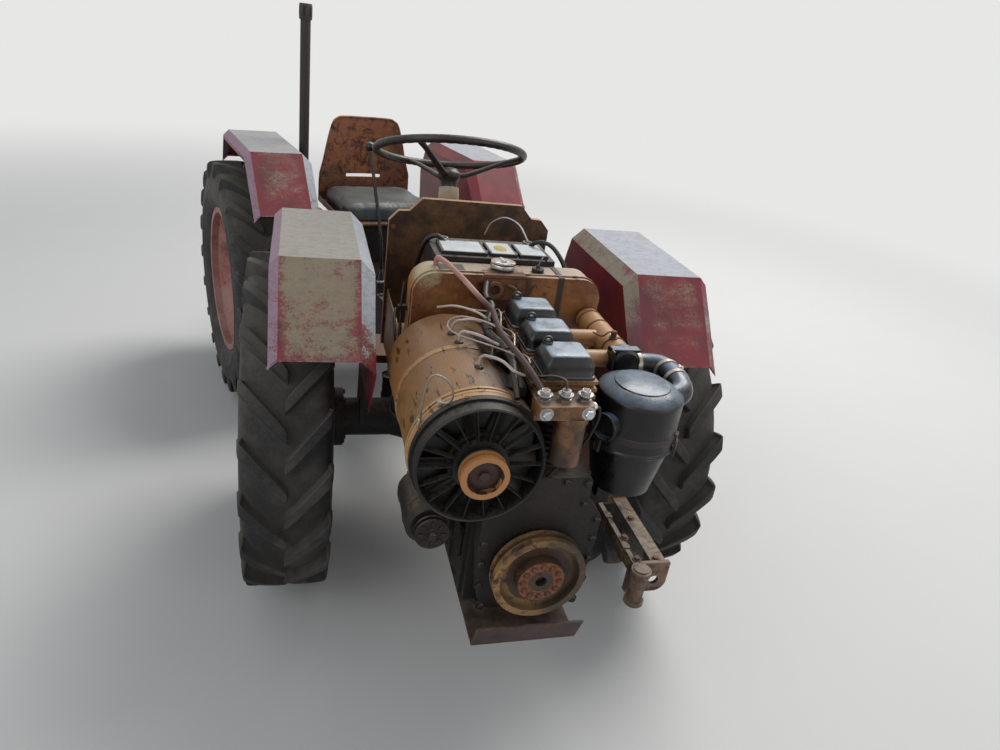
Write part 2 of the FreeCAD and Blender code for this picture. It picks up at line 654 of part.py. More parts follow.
def air_duct():
    """The round duct from the blower back along the cylinders, cut off flat where it feeds them."""
    at = ("blowerX", "blowerZ")
    start = "blowerBack + seatGap"
    barrel = bar("duct_barrel", "Y", at, "ductRadius - 2", (start, "ductBack - 40"))
    band = bar("duct_band", "Y", at, "ductRadius", (start, f"{start} + 14"))
    seam = bar("duct_seam", "Y", at, "ductRadius",
               ("(blowerBack + ductBack) / 2 - 8", "(blowerBack + ductBack) / 2 + 8"))
    tail = taper("duct_tail", "Y", at, ("ductRadius - 2", "ductRadius - 30"), ("ductBack - 40", "ductBack"))
    rest = block("duct_rest", ("ductFace", "200"), ("blowerBack - 1", "ductBack + 1"),
                 ("blowerZ - 2 * ductRadius", "blowerZ + 2 * ductRadius"))
    node("air_duct", [cut("duct_trimmed", fuse("duct", [barrel, band, seam, tail]), rest)])


def air_cleaner():
    """An oil-bath cleaner: bowl, clamp, can, stepped lid, inlet stub and the elbow to the manifold."""
    at = ("cleanerX", "cleanerY")
    can = bar("cleaner_can", "Z", at, "cleanerRadius", ("cleanerLow + 130", "cleanerTop - 16"))
    dome = taper("cleaner_dome", "Z", at, ("cleanerRadius", "cleanerRadius - 26"),
                 ("cleanerTop - 16", "cleanerTop - 3"))
    lid = bar("cleaner_lid", "Z", at, "cleanerRadius - 46", ("cleanerTop - 4", "cleanerTop"))
    hole = bar("cleaner_hole", "Z", ("cleanerX - 22", "cleanerY + 34"), "7",
               ("cleanerTop - 10", "cleanerTop + 1"))
    bowl = taper("cleaner_bowl", "Z", at, ("cleanerRadius - 30", "cleanerRadius - 8"),
                 ("cleanerLow", "cleanerLow + 125"))
    clamp = bar("cleaner_clamp", "Z", at, "cleanerRadius + 4", ("cleanerLow + 124", "cleanerLow + 136"))
    arm = block("cleaner_arm", ("blockHalf", "cleanerX"), ("cleanerY - 20", "cleanerY + 20"),
                ("cleanerLow - 30", "cleanerLow + 1"))
    stay = block("cleaner_stay", ("blockHalf", "blockHalf + 12"), ("cleanerY - 20", "cleanerY + 20"),
                 ("blockTop - 18", "cleanerLow + 1"))
    inlet = bar("cleaner_inlet", "X", ("cleanerY - 40", "cleanerTop - 78"), "31",
                ("cleanerX - 122", "cleanerX - 60"))
    bead = bar("inlet_bead", "X", ("cleanerY - 40", "cleanerTop - 78"), "34",
               ("cleanerX - 122", "cleanerX - 116"))
    start = "manifoldX + manifoldRadius + seatGap"
    middle = "cleanerX + cleanerRadius - 19"
    first = "manifoldFront + portRadius - elbowOut"
    last = "cleanerY + elbowOut"
    pieces = [
        bar("elbow_start", "X", ("manifoldFront + portRadius", "elbowZ"), "elbowRadius", (start, middle)),
        elbow("elbow_first", middle, first, "elbowZ", "elbowOut", "elbowRadius", 0),
        bar("elbow_run", "Y", (f"{middle} + elbowOut", "elbowZ"), "elbowRadius", (last, first)),
        elbow("elbow_last", middle, last, "elbowZ", "elbowOut", "elbowRadius", -90),
        bar("elbow_end", "X", ("cleanerY", "elbowZ"), "elbowRadius", ("cleanerX + 60", middle)),
        bar("elbow_band", "Y", (f"{middle} + elbowOut", "elbowZ"), "elbowRadius + 3",
            (f"{first} - 20", f"{first} - 6")),
    ]
    shell = fuse("cleaner", [can, dome, lid, bowl, clamp, arm, stay, inlet, bead] + pieces)
    body = cut("cleaner_pierced", shell, hole)
    node("air_cleaner", [body])


def intake_manifold():
    """The runner along the heads, with a branch forward to the first one."""
    face = "cylinderX + headHalf"
    pieces = [bar("manifold_tube", "Y", ("manifoldX", "manifoldZ"), "manifoldRadius",
                  ("manifoldFront", "ductBack - 3"))]
    for y in ("manifoldFront + portRadius", "cylinderY + 2 * pitch + 20"):
        pieces.append(bar("port", "X", (y, "manifoldZ"), "portRadius", (face, "manifoldX")))
        pieces.append(slab("port_flange", "X", [(f"{y} - 40", "manifoldZ - 18", 12),
                                                (f"{y} + 40", "manifoldZ - 18", 12),
                                                (f"{y} + 40", "manifoldZ + 18", 12),
                                                (f"{y} - 40", "manifoldZ + 18", 12)],
                           (face, f"{face} + 10")))
    pieces.append(bar("branch", "Y", (f"{face} + 17", "manifoldZ"), "14",
                      ("cylinderY + 20", "manifoldFront + portRadius")))
    pieces.append(bar("branch_port", "X", ("cylinderY + 20", "manifoldZ"), "14", (face, f"{face} + 17")))
    pieces.append(bar("manifold_cap", "Y", ("manifoldX", "manifoldZ"), "manifoldRadius - 8",
                      ("manifoldFront - 8", "manifoldFront + 2")))
    node("intake_manifold", pieces)


def fuel_filter():
    head = slab("filter_head", "Z", [("filterX - 86", "filterY - 32", 12), ("filterX + 38", "filterY - 32", 12),
                                     ("filterX + 38", "filterY + 32", 12), ("filterX - 86", "filterY + 32", 12)],
                ("headTop - 50", "headTop - 18"))
    can = bar("filter_can", "Z", ("filterX", "filterY"), "filterRadius", ("headTop - 168", "headTop - 49"))
    toe = taper("filter_toe", "Z", ("filterX", "filterY"), ("filterRadius - 12", "filterRadius"),
                ("headTop - 176", "headTop - 167"))
    rib = bar("filter_rib", "Z", ("filterX", "filterY"), "filterRadius + 3", ("headTop - 62", "headTop - 49"))
    stalk = block("filter_stalk", ("filterX - 30", "filterX + 10"), ("filterY + 30", "cylinderY - 58 - seatGap"),
                  ("headTop - 44", "headTop - 24"))
    pieces = [head, can, toe, rib, stalk]
    for x in ("filterX - 68", "filterX - 22", "filterX + 22"):
        pieces.append(bar("banjo", "Z", (x, "filterY"), "11", ("headTop - 19", "headTop - 4")))
        pieces.append(bar("banjo_bolt", "Z", (x, "filterY"), "7", ("headTop - 5", "headTop + 6")))
    node("fuel_filter", pieces)


def dynamo():
    at = ("dynamoX", "dynamoZ")
    body = bar("dynamo_body", "Y", at, "dynamoRadius", ("-780", "-640"))
    front = taper("dynamo_front", "Y", at, ("dynamoRadius - 12", "dynamoRadius"), ("-790", "-780"))
    mount = block("dynamo_mount", ("dynamoX", "-blockHalf"), ("-740", "-690"), ("dynamoZ - 15", "dynamoZ + 15"))
    disc = bar("dynamo_disc", "Y", at, "40", ("-822", "-800"))
    groove = tube("dynamo_groove", "Y", at, "41", "32", ("-815", "-807"))
    spindle = bar("dynamo_spindle", "Y", at, "10", ("-801", "-789"))
    node("dynamo", [body, front, mount, cut("dynamo_grooved", disc, groove), spindle])


def fuel_pipes():
    """Steel pipes from the duct's top to the injectors, and the hose from tank to filter."""
    top = num("blowerZ + ductRadius")
    wall = num("cylinderX - headHalf - seatGap")
    pipes = []
    # where each pipe leaves the duct: x, y
    leaving = [(-156, -690), (-178, -560), (-186, -508)]
    for i, (x, y) in enumerate(leaving):
        sink = num("blowerZ + 3 * seatGap") + math.sqrt(num("ductRadius - 2") ** 2 - (x - num("blowerX")) ** 2)
        injector = num(cylinder_y(i))
        low = num("headTop - 16")
        route = [Vector(x, y, sink), Vector(x, y, top + 30), Vector(x + 40, (y + injector) / 2, top + 34),
                 Vector(wall - 46, injector, top + 22), Vector(wall - 26, injector, low),
                 Vector(wall, injector, low)]
        pipes.append(feature("injector_pipe", pipe(route, num("pipeRadius"))))
    node("injector_pipes", pipes, joined=False)
    start = num("tankTop")
    run = num("headTop + 25")
    # x, y, height
    route = [Vector(-196, -270, start + 1.5), Vector(-195, -276, start + 24), Vector(-180, -318, start + 26),
             Vector(-140, -372, start), Vector(-100, -426, run + 4), Vector(-84, -490, run + 1),
             Vector(-94, -560, run + 4), Vector(-99, -635, run + 2), Vector(-91, -705, run + 3),
             Vector(-80, -762, run - 3), Vector(-68, -806, run - 15), Vector(-59, -834, run - 28),
             Vector(-56, -850, run - 34)]
    node("fuel_hose", [feature("hose", pipe(route, num("hoseRadius")))])


def front_carrier():
    """The steel carrier on the left of the engine, open in front since the bonnet is gone."""
    high = "railLow + railDeep"
    inner = "blockHalf + railOut"
    outer = "blockHalf + 190"
    parts = [
        block("carrier_bar", (inner, f"{inner} + 12"), ("railFront", "crossBack"), ("railLow", high)),
        block("carrier_angle", ("blockHalf + 150", outer), ("-880", "crossBack - 40"),
              ("railLow + 10", "railLow + 15")),
        block("carrier_lip", (f"{outer} - 5", outer), ("-880", "crossBack - 40"),
              ("railLow - 25", "railLow + 15")),
        block("carrier_cross", ("blockHalf + ribThick", outer), ("crossBack - 40", "crossBack"),
              ("railLow - 10", "railLow + 30")),
        bar("carrier_boss", "Z", (f"{inner} + 6", "railFront + 15"), "19", ("railLow - 55", "railLow + 50")),
        bar("boss_ring", "Z", (f"{inner} + 6", "railFront + 15"), "24", ("railLow + 36", "railLow + 46")),
        bar("boss_foot", "Z", (f"{inner} + 6", "railFront + 15"), "24", ("railLow - 55", "railLow - 45")),
    ]
    for y in ("-840", "-720"):
        parts.append(block("carrier_band", (f"{inner} - 3", f"{inner} + 15"), (y, f"{y} + 22"),
                           ("railLow - 3", f"{high} + 3")))
    plate = slab("carrier_plate", "Y", [(f"{inner} - 5", "railLow - 60", 10), (outer, "railLow - 60", 30),
                                        (outer, "railLow + 30", 5), (f"{inner} - 5", "railLow + 30", 5)],
                 ("-890", "-880"))
    hole = bar("carrier_hole", "Y", ("blockHalf + 155", "railLow - 25"), "13", ("-900", "-870"))
    node("front_carrier", parts + [cut("carrier_drilled", plate, hole)])
    low = "sumpLow - 15"
    guard = slab("guard_skin", "X", [("-905", "sumpLow + 65", 0), ("-899", "sumpLow + 65", 0),
                                     ("-872", f"{low} + 6", 0),
                                     ("-330", f"{low} + 6", 0), ("-330", low, 0), ("-876", low, 0)],
                 ("-135", "135"))
    straps = [block("guard_strap", (x, f"{x} + 30"), (y, f"{y} + 20"), (f"{low} + 3", "sumpLow"))
              for x in ("-90", "60") for y in ("-740", "-420")]
    node("sump_guard", [guard] + straps)


engine()
cylinders()
valve_covers()
crank_pulley()
blower()
air_duct()
air_cleaner()
intake_manifold()
fuel_filter()
dynamo()
fuel_pipes()
front_carrier()


# Tank, battery, sills and dash


def body_pieces():
    corners = [("-tankHalf", "tankLow", 20), ("tankHalf", "tankLow", 20), ("tankHalf", "tankTop", "tankCorner"),
               ("-tankHalf", "tankTop", "tankCorner")]
    raised = [("-tankHalf - 4", "tankLow - 4", 24), ("tankHalf + 4", "tankLow - 4", 24),
              ("tankHalf + 4", "tankTop + 4", "tankCorner + 4"),
              ("-tankHalf - 4", "tankTop + 4", "tankCorner + 4")]
    shell = slab("tank_shell", "Y", corners, ("tankFront", "tankBack"))
    seam = slab("tank_seam", "Y", raised, ("tankFront + 14", "tankFront + 18"))
    neck = bar("tank_neck", "Z", ("-15", "(tankFront + tankBack) / 2"), "24", ("tankTop - 2", "tankTop + 10"))
    cap = bar("tank_cap", "Z", ("-15", "(tankFront + tankBack) / 2"), "34", ("tankTop + 8", "tankTop + 24"))
    node("fuel_tank", [shell, seam, neck, cap])
    case = block("battery_case", ("batteryRight", "batteryLeft"), ("batteryFront", "batteryBack"),
                 ("batteryLow", "batteryTop - 22"))
    lid = block("battery_lid", ("batteryRight - 3", "batteryLeft + 3"), ("batteryFront - 3", "batteryBack + 3"),
                ("batteryTop - 23", "batteryTop"))
    pieces = [case, lid]
    for x in ("batteryRight + 40", "batteryLeft - 40"):
        pieces.append(bar("battery_post", "Z", (x, "batteryBack - 30"), "9",
                          ("batteryTop - 1", "batteryTop + 14")))
    for i in range(6):
        x = f"batteryRight + 58 + {i} * 44"
        pieces.append(bar("battery_plug", "Z", (x, "batteryFront + 44"), "11",
                          ("batteryTop - 1", "batteryTop + 6")))
    node("battery", pieces)
    parts = []
    for sign in (-1, 1):
        wall = span(f"{sign} * tankHalf", f"{sign} * (tankHalf - 4)")
        parts.append(slab("sill_side", "X", [
            ("tankFront + 10", "sillLow", 10), ("dashFace", "sillLow", 0), ("dashFace", "sillTop", 0),
            ("tankBack + 2", "sillTop", 0), ("tankBack + 2", "tankLow - 4 - seatGap", 0),
            ("tankFront + 10", "tankLow - 4 - seatGap", 0)], wall))
    within = ("-tankHalf + 1", "tankHalf - 1")
    deep = ("batteryFront - 2", "batteryBack + 6")
    tray = block("battery_tray", within, deep, ("batteryLow - 60", "batteryLow - 56"))
    stool = block("battery_stool", ("batteryRight - 6", "batteryLeft + 6"), deep,
                  ("batteryLow - 57", "batteryLow"))
    floor = block("sill_floor", within, ("boxFront + 2", "dashFace"), ("sillLow", "sillLow + 4"))
    rest = block("tank_rest", within, ("tankFront + 22", "tankBack - 20"), ("tankLow - 6", "tankLow - seatGap"))
    foot = block("sill_foot", ("-120", "120"), ("-120", "160"), ("boxTop", "sillLow + 1"))
    node("body_frame", parts + [tray, stool, floor, rest, foot])


def dash():
    """A pressed dash, open towards the driver: half outline from the sill up to the raised middle."""
    # x, height below the dash's top, for the skin's outside and for its inside
    half = [("dashHalf", "77"), ("dashHalf - 30", "44"), ("dashHalf - 65", "42"), ("166", "0")]
    inner = [("dashHalf - sheet", "78"), ("dashHalf - 31", "44 + sheet"), ("dashHalf - 66", "42 + sheet"),
             ("165", "sheet")]
    shapes = []
    for points, low in ((half, "sillLow"), (inner, "sillLow + sheet")):
        edge = f"{points[0][0]}"
        right = [(f"-({x})", f"dashTop - ({drop})", 0) for x, drop in points[::-1]]
        left = [(x, f"dashTop - ({drop})", 0) for x, drop in points]
        shapes.append([(f"-({edge})", low, 0), (edge, low, 0)] + left + right)
    panel = slab("dash_skin", "Y", shapes[0], ("dashFace", "dashFace + dashFlange"))
    hollow = slab("dash_hollow", "Y", shapes[1], ("dashFace + sheet", "dashFace + dashFlange + 1"))
    node("dash_panel", [cut("dash_pressed", panel, hollow)])


def along_column(distance):
    """A point on the steering column, measured up from the wheel's rim plane."""
    return ("wheelX", f"wheelY + ({distance}) * sin(wheelTilt)", f"wheelZ + ({distance}) * cos(wheelTilt)")


def steering():
    """Column with its collar, and a dished wheel with three spokes."""
    tilt = Rotation(Vector(1, 0, 0), -num("wheelTilt"))

    def leaning(name, low, high, radius):
        thing = new("Part::Cylinder", name)
        thing.setExpression("Radius", ex(radius))
        thing.setExpression("Height", ex(f"({high}) - ({low})"))
        return put(thing, *along_column(low), tilt)

    post = leaning("column_tube", "-wheelDish - columnLength", "-wheelDish - 30", "columnRadius")
    collar = leaning("column_collar", "-wheelDish - 60", "-wheelDish - 30", "columnRadius + 5")
    bore = leaning("column_bore", "-wheelDish - 130", "-wheelDish - 20", "10")
    foot = block("column_foot", ("wheelX - 40", "wheelX + 40"), ("dashFace + sheet", "dashFace + 60"),
                 ("dashTop - 282", "dashTop - 227"))
    node("steering_column", [cut("column_bored", fuse("column", [post, collar]), bore), foot])
    hub = leaning("wheel_hub", "-wheelDish - 25", "-wheelDish + 25", "34")
    spindle = leaning("wheel_spindle", "-wheelDish - 120", "-wheelDish - 20", "10 - shaftFit")
    pieces = [Part.makeTorus(num("wheelRadius"), num("gripRadius"))]
    reach = num("wheelRadius")
    for angle in (-65, 55, 175):
        end = Vector(reach * math.cos(math.radians(angle)), reach * math.sin(math.radians(angle)), 0)
        start = Vector(end.x * 0.1, end.y * 0.1, -num("wheelDish"))
        run = end - start
        pieces.append(Part.makeCylinder(num("spokeRadius"), run.Length, start, run))
    wheel = feature("wheel_ring", pieces[0].multiFuse(pieces[1:]))
    put(wheel, "wheelX", "wheelY", "wheelZ", tilt)
    node("steering_wheel", [hub, spindle, wheel])


body_pieces()
dash()
steering()


# Axles and pivot


def axle(label, y, place):
    """Both halves of an axle: flared tube, hub flange and the stay up to the wing."""
    halves = []
    for sign in (-1, 1):
        def out(first, second):
            return span(f"{sign} * ({first})", f"{sign} * ({second})")
        radii = ("axleBell", "axleTube") if sign > 0 else ("axleTube", "axleBell")
        halves.append(fuse(label + "_half", [
            taper("axle_flare", "X", (y, "0"), radii, out("boxHalf + boxFlange", "bellEnd")),
            bar("axle_tube", "X", (y, "0"), "axleTube", out("bellEnd - 1", "axleEnd")),
            bar("axle_flange", "X", (y, "0"), "hubFlange", out("axleEnd - 25", "axleEnd")),
            slab("wing_stay", "X", [(f"{y} - 70", "0", 0), (f"{y} + 70", "0", 0),
                                    (f"{y} + 50", "wingSideLow + 90", 10),
                                    (f"{y} - 50", "wingSideLow + 90", 10)],
                 out("wingInner - 14", "wingInner"))]))
    node(label, halves, place, joined=False)


def gearbox(name, y, back, front, top):
    """The drive casing: a ribbed box with a round bulge where the axle crosses it."""
    parts = [block(name + "_box", ("-boxHalf", "boxHalf"), (front, back), ("boxLow", top))]
    for sign in (-1, 1):
        radii = ("-boxLow", "axleBell + 8") if sign > 0 else ("axleBell + 8", "-boxLow")
        reach = span(f"{sign} * 40", f"{sign} * (boxHalf + boxFlange)")
        parts.append(taper(name + "_bulge", "X", (y, "0"), radii, reach))
    return parts


def pivot_ears():
    """Two ears with the upright pin that the halves swing on."""
    parts = []
    gap = "yokeHalf + earGap"
    for ends in ((f"-({gap}) - earThick", f"-({gap})"), (gap, f"{gap} + earThick")):
        parts.append(slab("ear", "Z", [("-earRadius - 18", "pivotBack - 200", 0),
                                       ("earRadius + 18", "pivotBack - 200", 0),
                                       ("earRadius + 18", "pivotBack - 150", 20),
                                       ("earRadius", "pivotBack - 60", 20),
                                       ("earRadius", "pivotBack + earRadius", "earRadius - 1"),
                                       ("-earRadius", "pivotBack + earRadius", "earRadius - 1"),
                                       ("-earRadius", "pivotBack - 60", 20),
                                       ("-earRadius - 18", "pivotBack - 150", 20)],
                          ends))
    reach = f"{gap} + earThick + 8"
    parts.append(bar("pivot_pin", "Z", ("0", "pivotBack"), "pivotPin", (f"-({reach})", reach)))
    return parts


def ram_lugs():
    """Lugs and pin for the steering cylinder on the right side of the casing."""
    parts = []
    for low in ("-lugGap - lugThick", "lugGap"):
        parts.append(slab("ram_lug", "Z", [("anchorX - 26", "anchorY - 26", 20),
                                           ("-boxHalf + 1", "anchorY - 40", 0),
                                           ("-boxHalf + 1", "anchorY + 40", 0),
                                           ("anchorX - 26", "anchorY + 26", 20)],
                          (low, f"{low} + lugThick")))
    parts.append(bar("ram_pin", "Z", ("anchorX", "anchorY"), "ramPin", ("-lugGap - 16", "lugGap + 16")))
    return parts


def front_drive():
    casing = gearbox("front", "0", "pivotBack - 190", "boxFront", "boxTop")
    node("front_gearbox", casing + pivot_ears() + ram_lugs())
    axle("front_axle", "0", None)
    plates = []
    for sign in (-1, 1):
        plate = block("foot_plate", span(f"{sign} * 175", f"{sign} * 345"), ("240", "480"),
                      ("plateTop - 4", "plateTop"))
        toe = block("plate_toe", span(f"{sign} * 175", f"{sign} * 345"), ("236", "240"),
                    ("plateTop - 4", "plateTop + 26"))
        arm = block("plate_arm", span(f"{sign} * boxHalf", f"{sign} * 300"), ("290", "325"),
                    ("plateTop - 19", "plateTop - 3"))
        plates.append(fuse("plate", [plate, toe, arm]))
    node("foot_plates", plates, joined=False)


def ram():
    """The steering cylinder, hinged on the front half; its rod's eye reaches the yoke's arm."""
    eye = REAR.multVec(Vector(num("eyeX"), num("eyeY"), 0))
    anchor = Vector(num("anchorX"), num("anchorY"), 0)
    run = eye - anchor
    place = Placement(anchor, Rotation(Vector(0, 1, 0), run))
    at = ("0", "0")
    boss = bar("ram_eye", "Z", at, "eyeRadius", ("-lugGap + seatGap", "lugGap - seatGap"))
    barrel = bar("ram_barrel", "Y", at, "ramRadius", ("18", "ramLength"))
    gland = bar("ram_gland", "Y", at, "ramRadius + 4", ("ramLength - 24", "ramLength"))
    tall = ("ramRadius - 4", "ramRadius + 10")
    ports = [bar("ram_port", "Z", ("0", y), "10", tall) for y in ("64", "ramLength - 12")]
    bore = bar("ram_bore", "Y", at, "rodRadius + shaftFit", ("38", "ramLength + 1"))
    hole = bar("ram_hole", "Z", at, "ramPin + shaftFit", ("-80", "80"))
    solid = fuse("ram_solid", [boss, barrel, gland] + ports)
    node("steering_ram", [cut("ram_bored", solid, fuse("ram_bores", [bore, hole]))], place)
    rod = bar("ram_rod", "Y", at, "rodRadius", ("75", f"{run.Length}"))
    tip = bar("rod_eye", "Z", ("0", f"{run.Length}"), "eyeRadius", ("-jawGap + 0.5", "jawGap - 0.5"))
    node("steering_rod", [rod, tip], place)


def yoke():
    """The swivel between the halves: an upright bore and a lengthways sleeve."""
    boss = bar("yoke_boss", "Z", ("0", "0"), "earRadius", ("-yokeHalf", "yokeHalf"))
    sleeve = bar("yoke_sleeve", "Y", ("0", "0"), "trunnion + sleeveWall", ("0", "sleeveBack"))
    collar = bar("yoke_collar", "Y", ("0", "0"), "trunnion + sleeveWall + 6", ("sleeveBack - 22", "sleeveBack"))
    arms = []
    for low in ("-jawGap - lugThick", "jawGap"):
        arms.append(slab("yoke_arm", "Z", [("eyeX - 26", "eyeY - 26", 20), ("-20", "eyeY - 40", 0),
                                           ("-20", "eyeY + 40", 0), ("eyeX - 26", "eyeY + 26", 20)],
                         (low, f"{low} + lugThick")))
    solid = fuse("yoke", [boss, sleeve, collar] + arms)
    pin = bar("yoke_bore", "Z", ("0", "0"), "pivotPin + shaftFit", ("-2 * yokeHalf", "2 * yokeHalf"))
    hollow = bar("yoke_hollow", "Y", ("0", "0"), "trunnion + shaftFit", ("40", "sleeveBack + 1"))
    node("pivot_yoke", [cut("yoke_hollowed", cut("yoke_bored", solid, pin), hollow)], REAR)


def rear_drive():
    """Rear casing with the trunnion, lift case, link brackets, drawbar and take-off shaft."""
    front = "sleeveBack + runGap"
    parts = gearbox("rear", "pivotToRear", BOX_BACK, front, "boxTop - 30")
    parts.append(bar("rear_trunnion", "Y", ("0", "0"), "trunnion", ("50", f"{front} + 5")))
    parts.append(bar("rear_shoulder", "Y", ("0", "0"), "trunnion + sleeveWall", (front, f"{front} + 30")))
    parts.append(slab("lift_case", "X", [("shaftBack - 260", "boxTop - 31", 0),
                                         ("shaftBack + 20", "boxTop - 31", 0),
                                         ("shaftBack + 50", "liftHeight - 20", 20),
                                         ("shaftBack + 50", "liftHeight + 45", 20),
                                         ("shaftBack - 260", "liftHeight + 45", 20)], ("-120", "120")))
    for sign in (-1, 1):
        parts.append(slab("link_bracket", "X", [("shaftBack - 50", "linkHeight + 60", 0),
                                                ("shaftBack - 40", "linkHeight - 30", 20),
                                                ("shaftBack + 20", "linkHeight - 30", 20),
                                                ("shaftBack + 20", "linkHeight + 60", 0)],
                          span(f"{sign} * (boxHalf - 1)", f"{sign} * (linkX - linkThick / 2 - 3)")))
    solid = fuse("rear_case", parts)
    bores = [
        bar("lift_bore", "X", ("shaftBack", "liftHeight"), "liftShaft + shaftFit", ("-300", "300")),
        bar("link_bore", "X", ("shaftBack", "linkHeight"), "12 + shaftFit", ("-300", "300")),
        bar("pto_bore", "Y", ("0", "ptoHeight"), "ptoRoot + shaftFit", ("pivotToRear + 60", f"{BOX_BACK} + 70")),
    ]
    node("rear_gearbox", [cut("rear_drilled", solid, fuse("rear_bores", bores))], REAR)
    axle("rear_axle", "pivotToRear", REAR)
    plate = block("top_plate", ("-topLinkHalf - 6", "topLinkHalf + 6"), ("shaftBack + 50", "shaftBack + 58"),
                  ("liftHeight - 14", "liftHeight + 40"))
    lugs = []
    for sign in (-1, 1):
        lugs.append(slab("top_lug", "X", [("shaftBack + 57", "liftHeight - 10", 0),
                                          ("shaftBack + 95", "liftHeight - 10", 16),
                                          ("shaftBack + 95", "liftHeight + 36", 16),
                                          ("shaftBack + 57", "liftHeight + 36", 0)],
                         span(f"{sign} * (topLinkHalf - lugThick)", f"{sign} * topLinkHalf")))
    hole = bar("top_bore", "X", ("shaftBack + 77", "liftHeight + 13"), "topLinkBore", ("-60", "60"))
    node("top_link_bracket", [cut("top_drilled", fuse("top_solid", [plate] + lugs), hole)], REAR)
    draw = slab("drawbar_plate", "Z", [("-45", "pivotToRear - 40", 0), ("45", "pivotToRear - 40", 0),
                                       ("45", "drawbarBack + 45", 40), ("-45", "drawbarBack + 45", 40)],
                ("boxLow - 45", "boxLow - 20"))
    hanger = block("drawbar_hanger", ("-60", "60"), ("pivotToRear - 30", "pivotToRear + 110"),
                   ("boxLow - 21", "boxLow"))
    hole = bar("drawbar_bore", "Z", ("0", "drawbarBack"), "drawbarHole", ("boxLow - 60", "boxLow"))
    node("drawbar", [cut("drawbar_drilled", fuse("drawbar_solid", [draw, hanger]), hole)], REAR)
    stub = bar("pto_stub", "Y", ("0", "ptoHeight"), "ptoRadius", (BOX_BACK, f"{BOX_BACK} + 85"))
    root = bar("pto_root", "Y", ("0", "ptoHeight"), "ptoRoot", ("pivotToRear + 61", f"{BOX_BACK} + 1"))
    node("pto_shaft", [stub, root], REAR)


def lift_linkage():
    """Lift shaft with its arms, and on each side a jawed rod and a lower link with its ball."""
    tip = "shaftBack + liftArm"
    end = "shaftBack + linkLength - ballBack"
    shaft = bar("lift_shaft", "X", ("shaftBack", "liftHeight"), "liftShaft", ("-liftX - 14", "liftX + 14"))
    arms = []
    rods = []
    links = []
    for sign in (-1, 1):
        def across(near, far):
            return span(f"{sign} * ({near})", f"{sign} * ({far})")
        arms.append(slab("lift_arm", "X", [
            ("shaftBack - 42", "liftHeight - 42", 40), ("shaftBack + 42", "liftHeight - 42", 30),
            (f"{tip} + 22", "liftHeight - 22", 20), (f"{tip} + 22", "liftHeight + 22", 20),
            ("shaftBack + 42", "liftHeight + 42", 30), ("shaftBack - 42", "liftHeight + 42", 40)],
            across("liftX - 12", "liftX + 12")))
        arms.append(bar("arm_pin", "X", (tip, "liftHeight"), "10", across("liftX + 11", "linkX + 14")))
        cheek = (f"{tip} - 18", f"{tip} + 18")
        jaw = ("linkHeight - 22", "linkHeight + 95")
        solid = fuse("lift_rod", [
            bar("rod_top", "X", (tip, "liftHeight"), "22", across("linkX - 12", "linkX + 12")),
            bar("rod_low", "X", (tip, "linkHeight + 75"), "22", across("linkX - 12", "linkX + 12")),
            bar("rod_bar", "Z", (f"{sign} * linkX", tip), "13", ("linkHeight + 75", "liftHeight")),
            bar("rod_nut", "Z", (f"{sign} * linkX", tip), "20", ("linkHeight + 150", "linkHeight + 230")),
            block("rod_jaw_out", across("linkX + 12", "linkX + 20"), cheek, jaw),
            block("rod_jaw_in", across("linkX - 12", "linkX - 20"), cheek, jaw)])
        bores = fuse("rod_bores", [
            bar("rod_top_bore", "X", (tip, "liftHeight"), "10 + shaftFit", ("-400", "400")),
            bar("rod_low_bore", "X", (tip, "linkHeight"), "9 + shaftFit", ("-400", "400"))])
        rods.append(cut("lift_rod_bored", solid, bores))
        half = "linkDeep / 2"
        flat = slab("link_bar", "X", [("shaftBack - 28", f"linkHeight - {half}", 26),
                                      (f"{end} + ballBack", f"linkHeight - {half}", 26),
                                      (f"{end} + ballBack", f"linkHeight + {half}", 26),
                                      ("shaftBack - 28", f"linkHeight + {half}", 26)],
                    across("linkX - linkThick / 2", "linkX + linkThick / 2"))
        ball = bar("link_ball", "X", (end, "linkHeight"), "24",
                   across("linkX - ballWidth / 2", "linkX + ballWidth / 2"))
        stub = bar("link_stub", "X", (tip, "linkHeight"), "9", across("linkX - 21", "linkX + 21"))
        root = bar("link_root", "X", ("shaftBack", "linkHeight"), "12", across("boxHalf + 5", "linkX"))
        bore = bar("ball_bore", "X", (end, "linkHeight"), "ballBore", ("-400", "400"))
        links.append(cut("link_bored", fuse("link", [flat, ball, stub, root]), bore))
    node("lift_arms", [shaft] + arms, REAR)
    node("lift_rods", rods, REAR, joined=False)
    node("lower_links", links, REAR, joined=False)


# Driver's place and exhaust


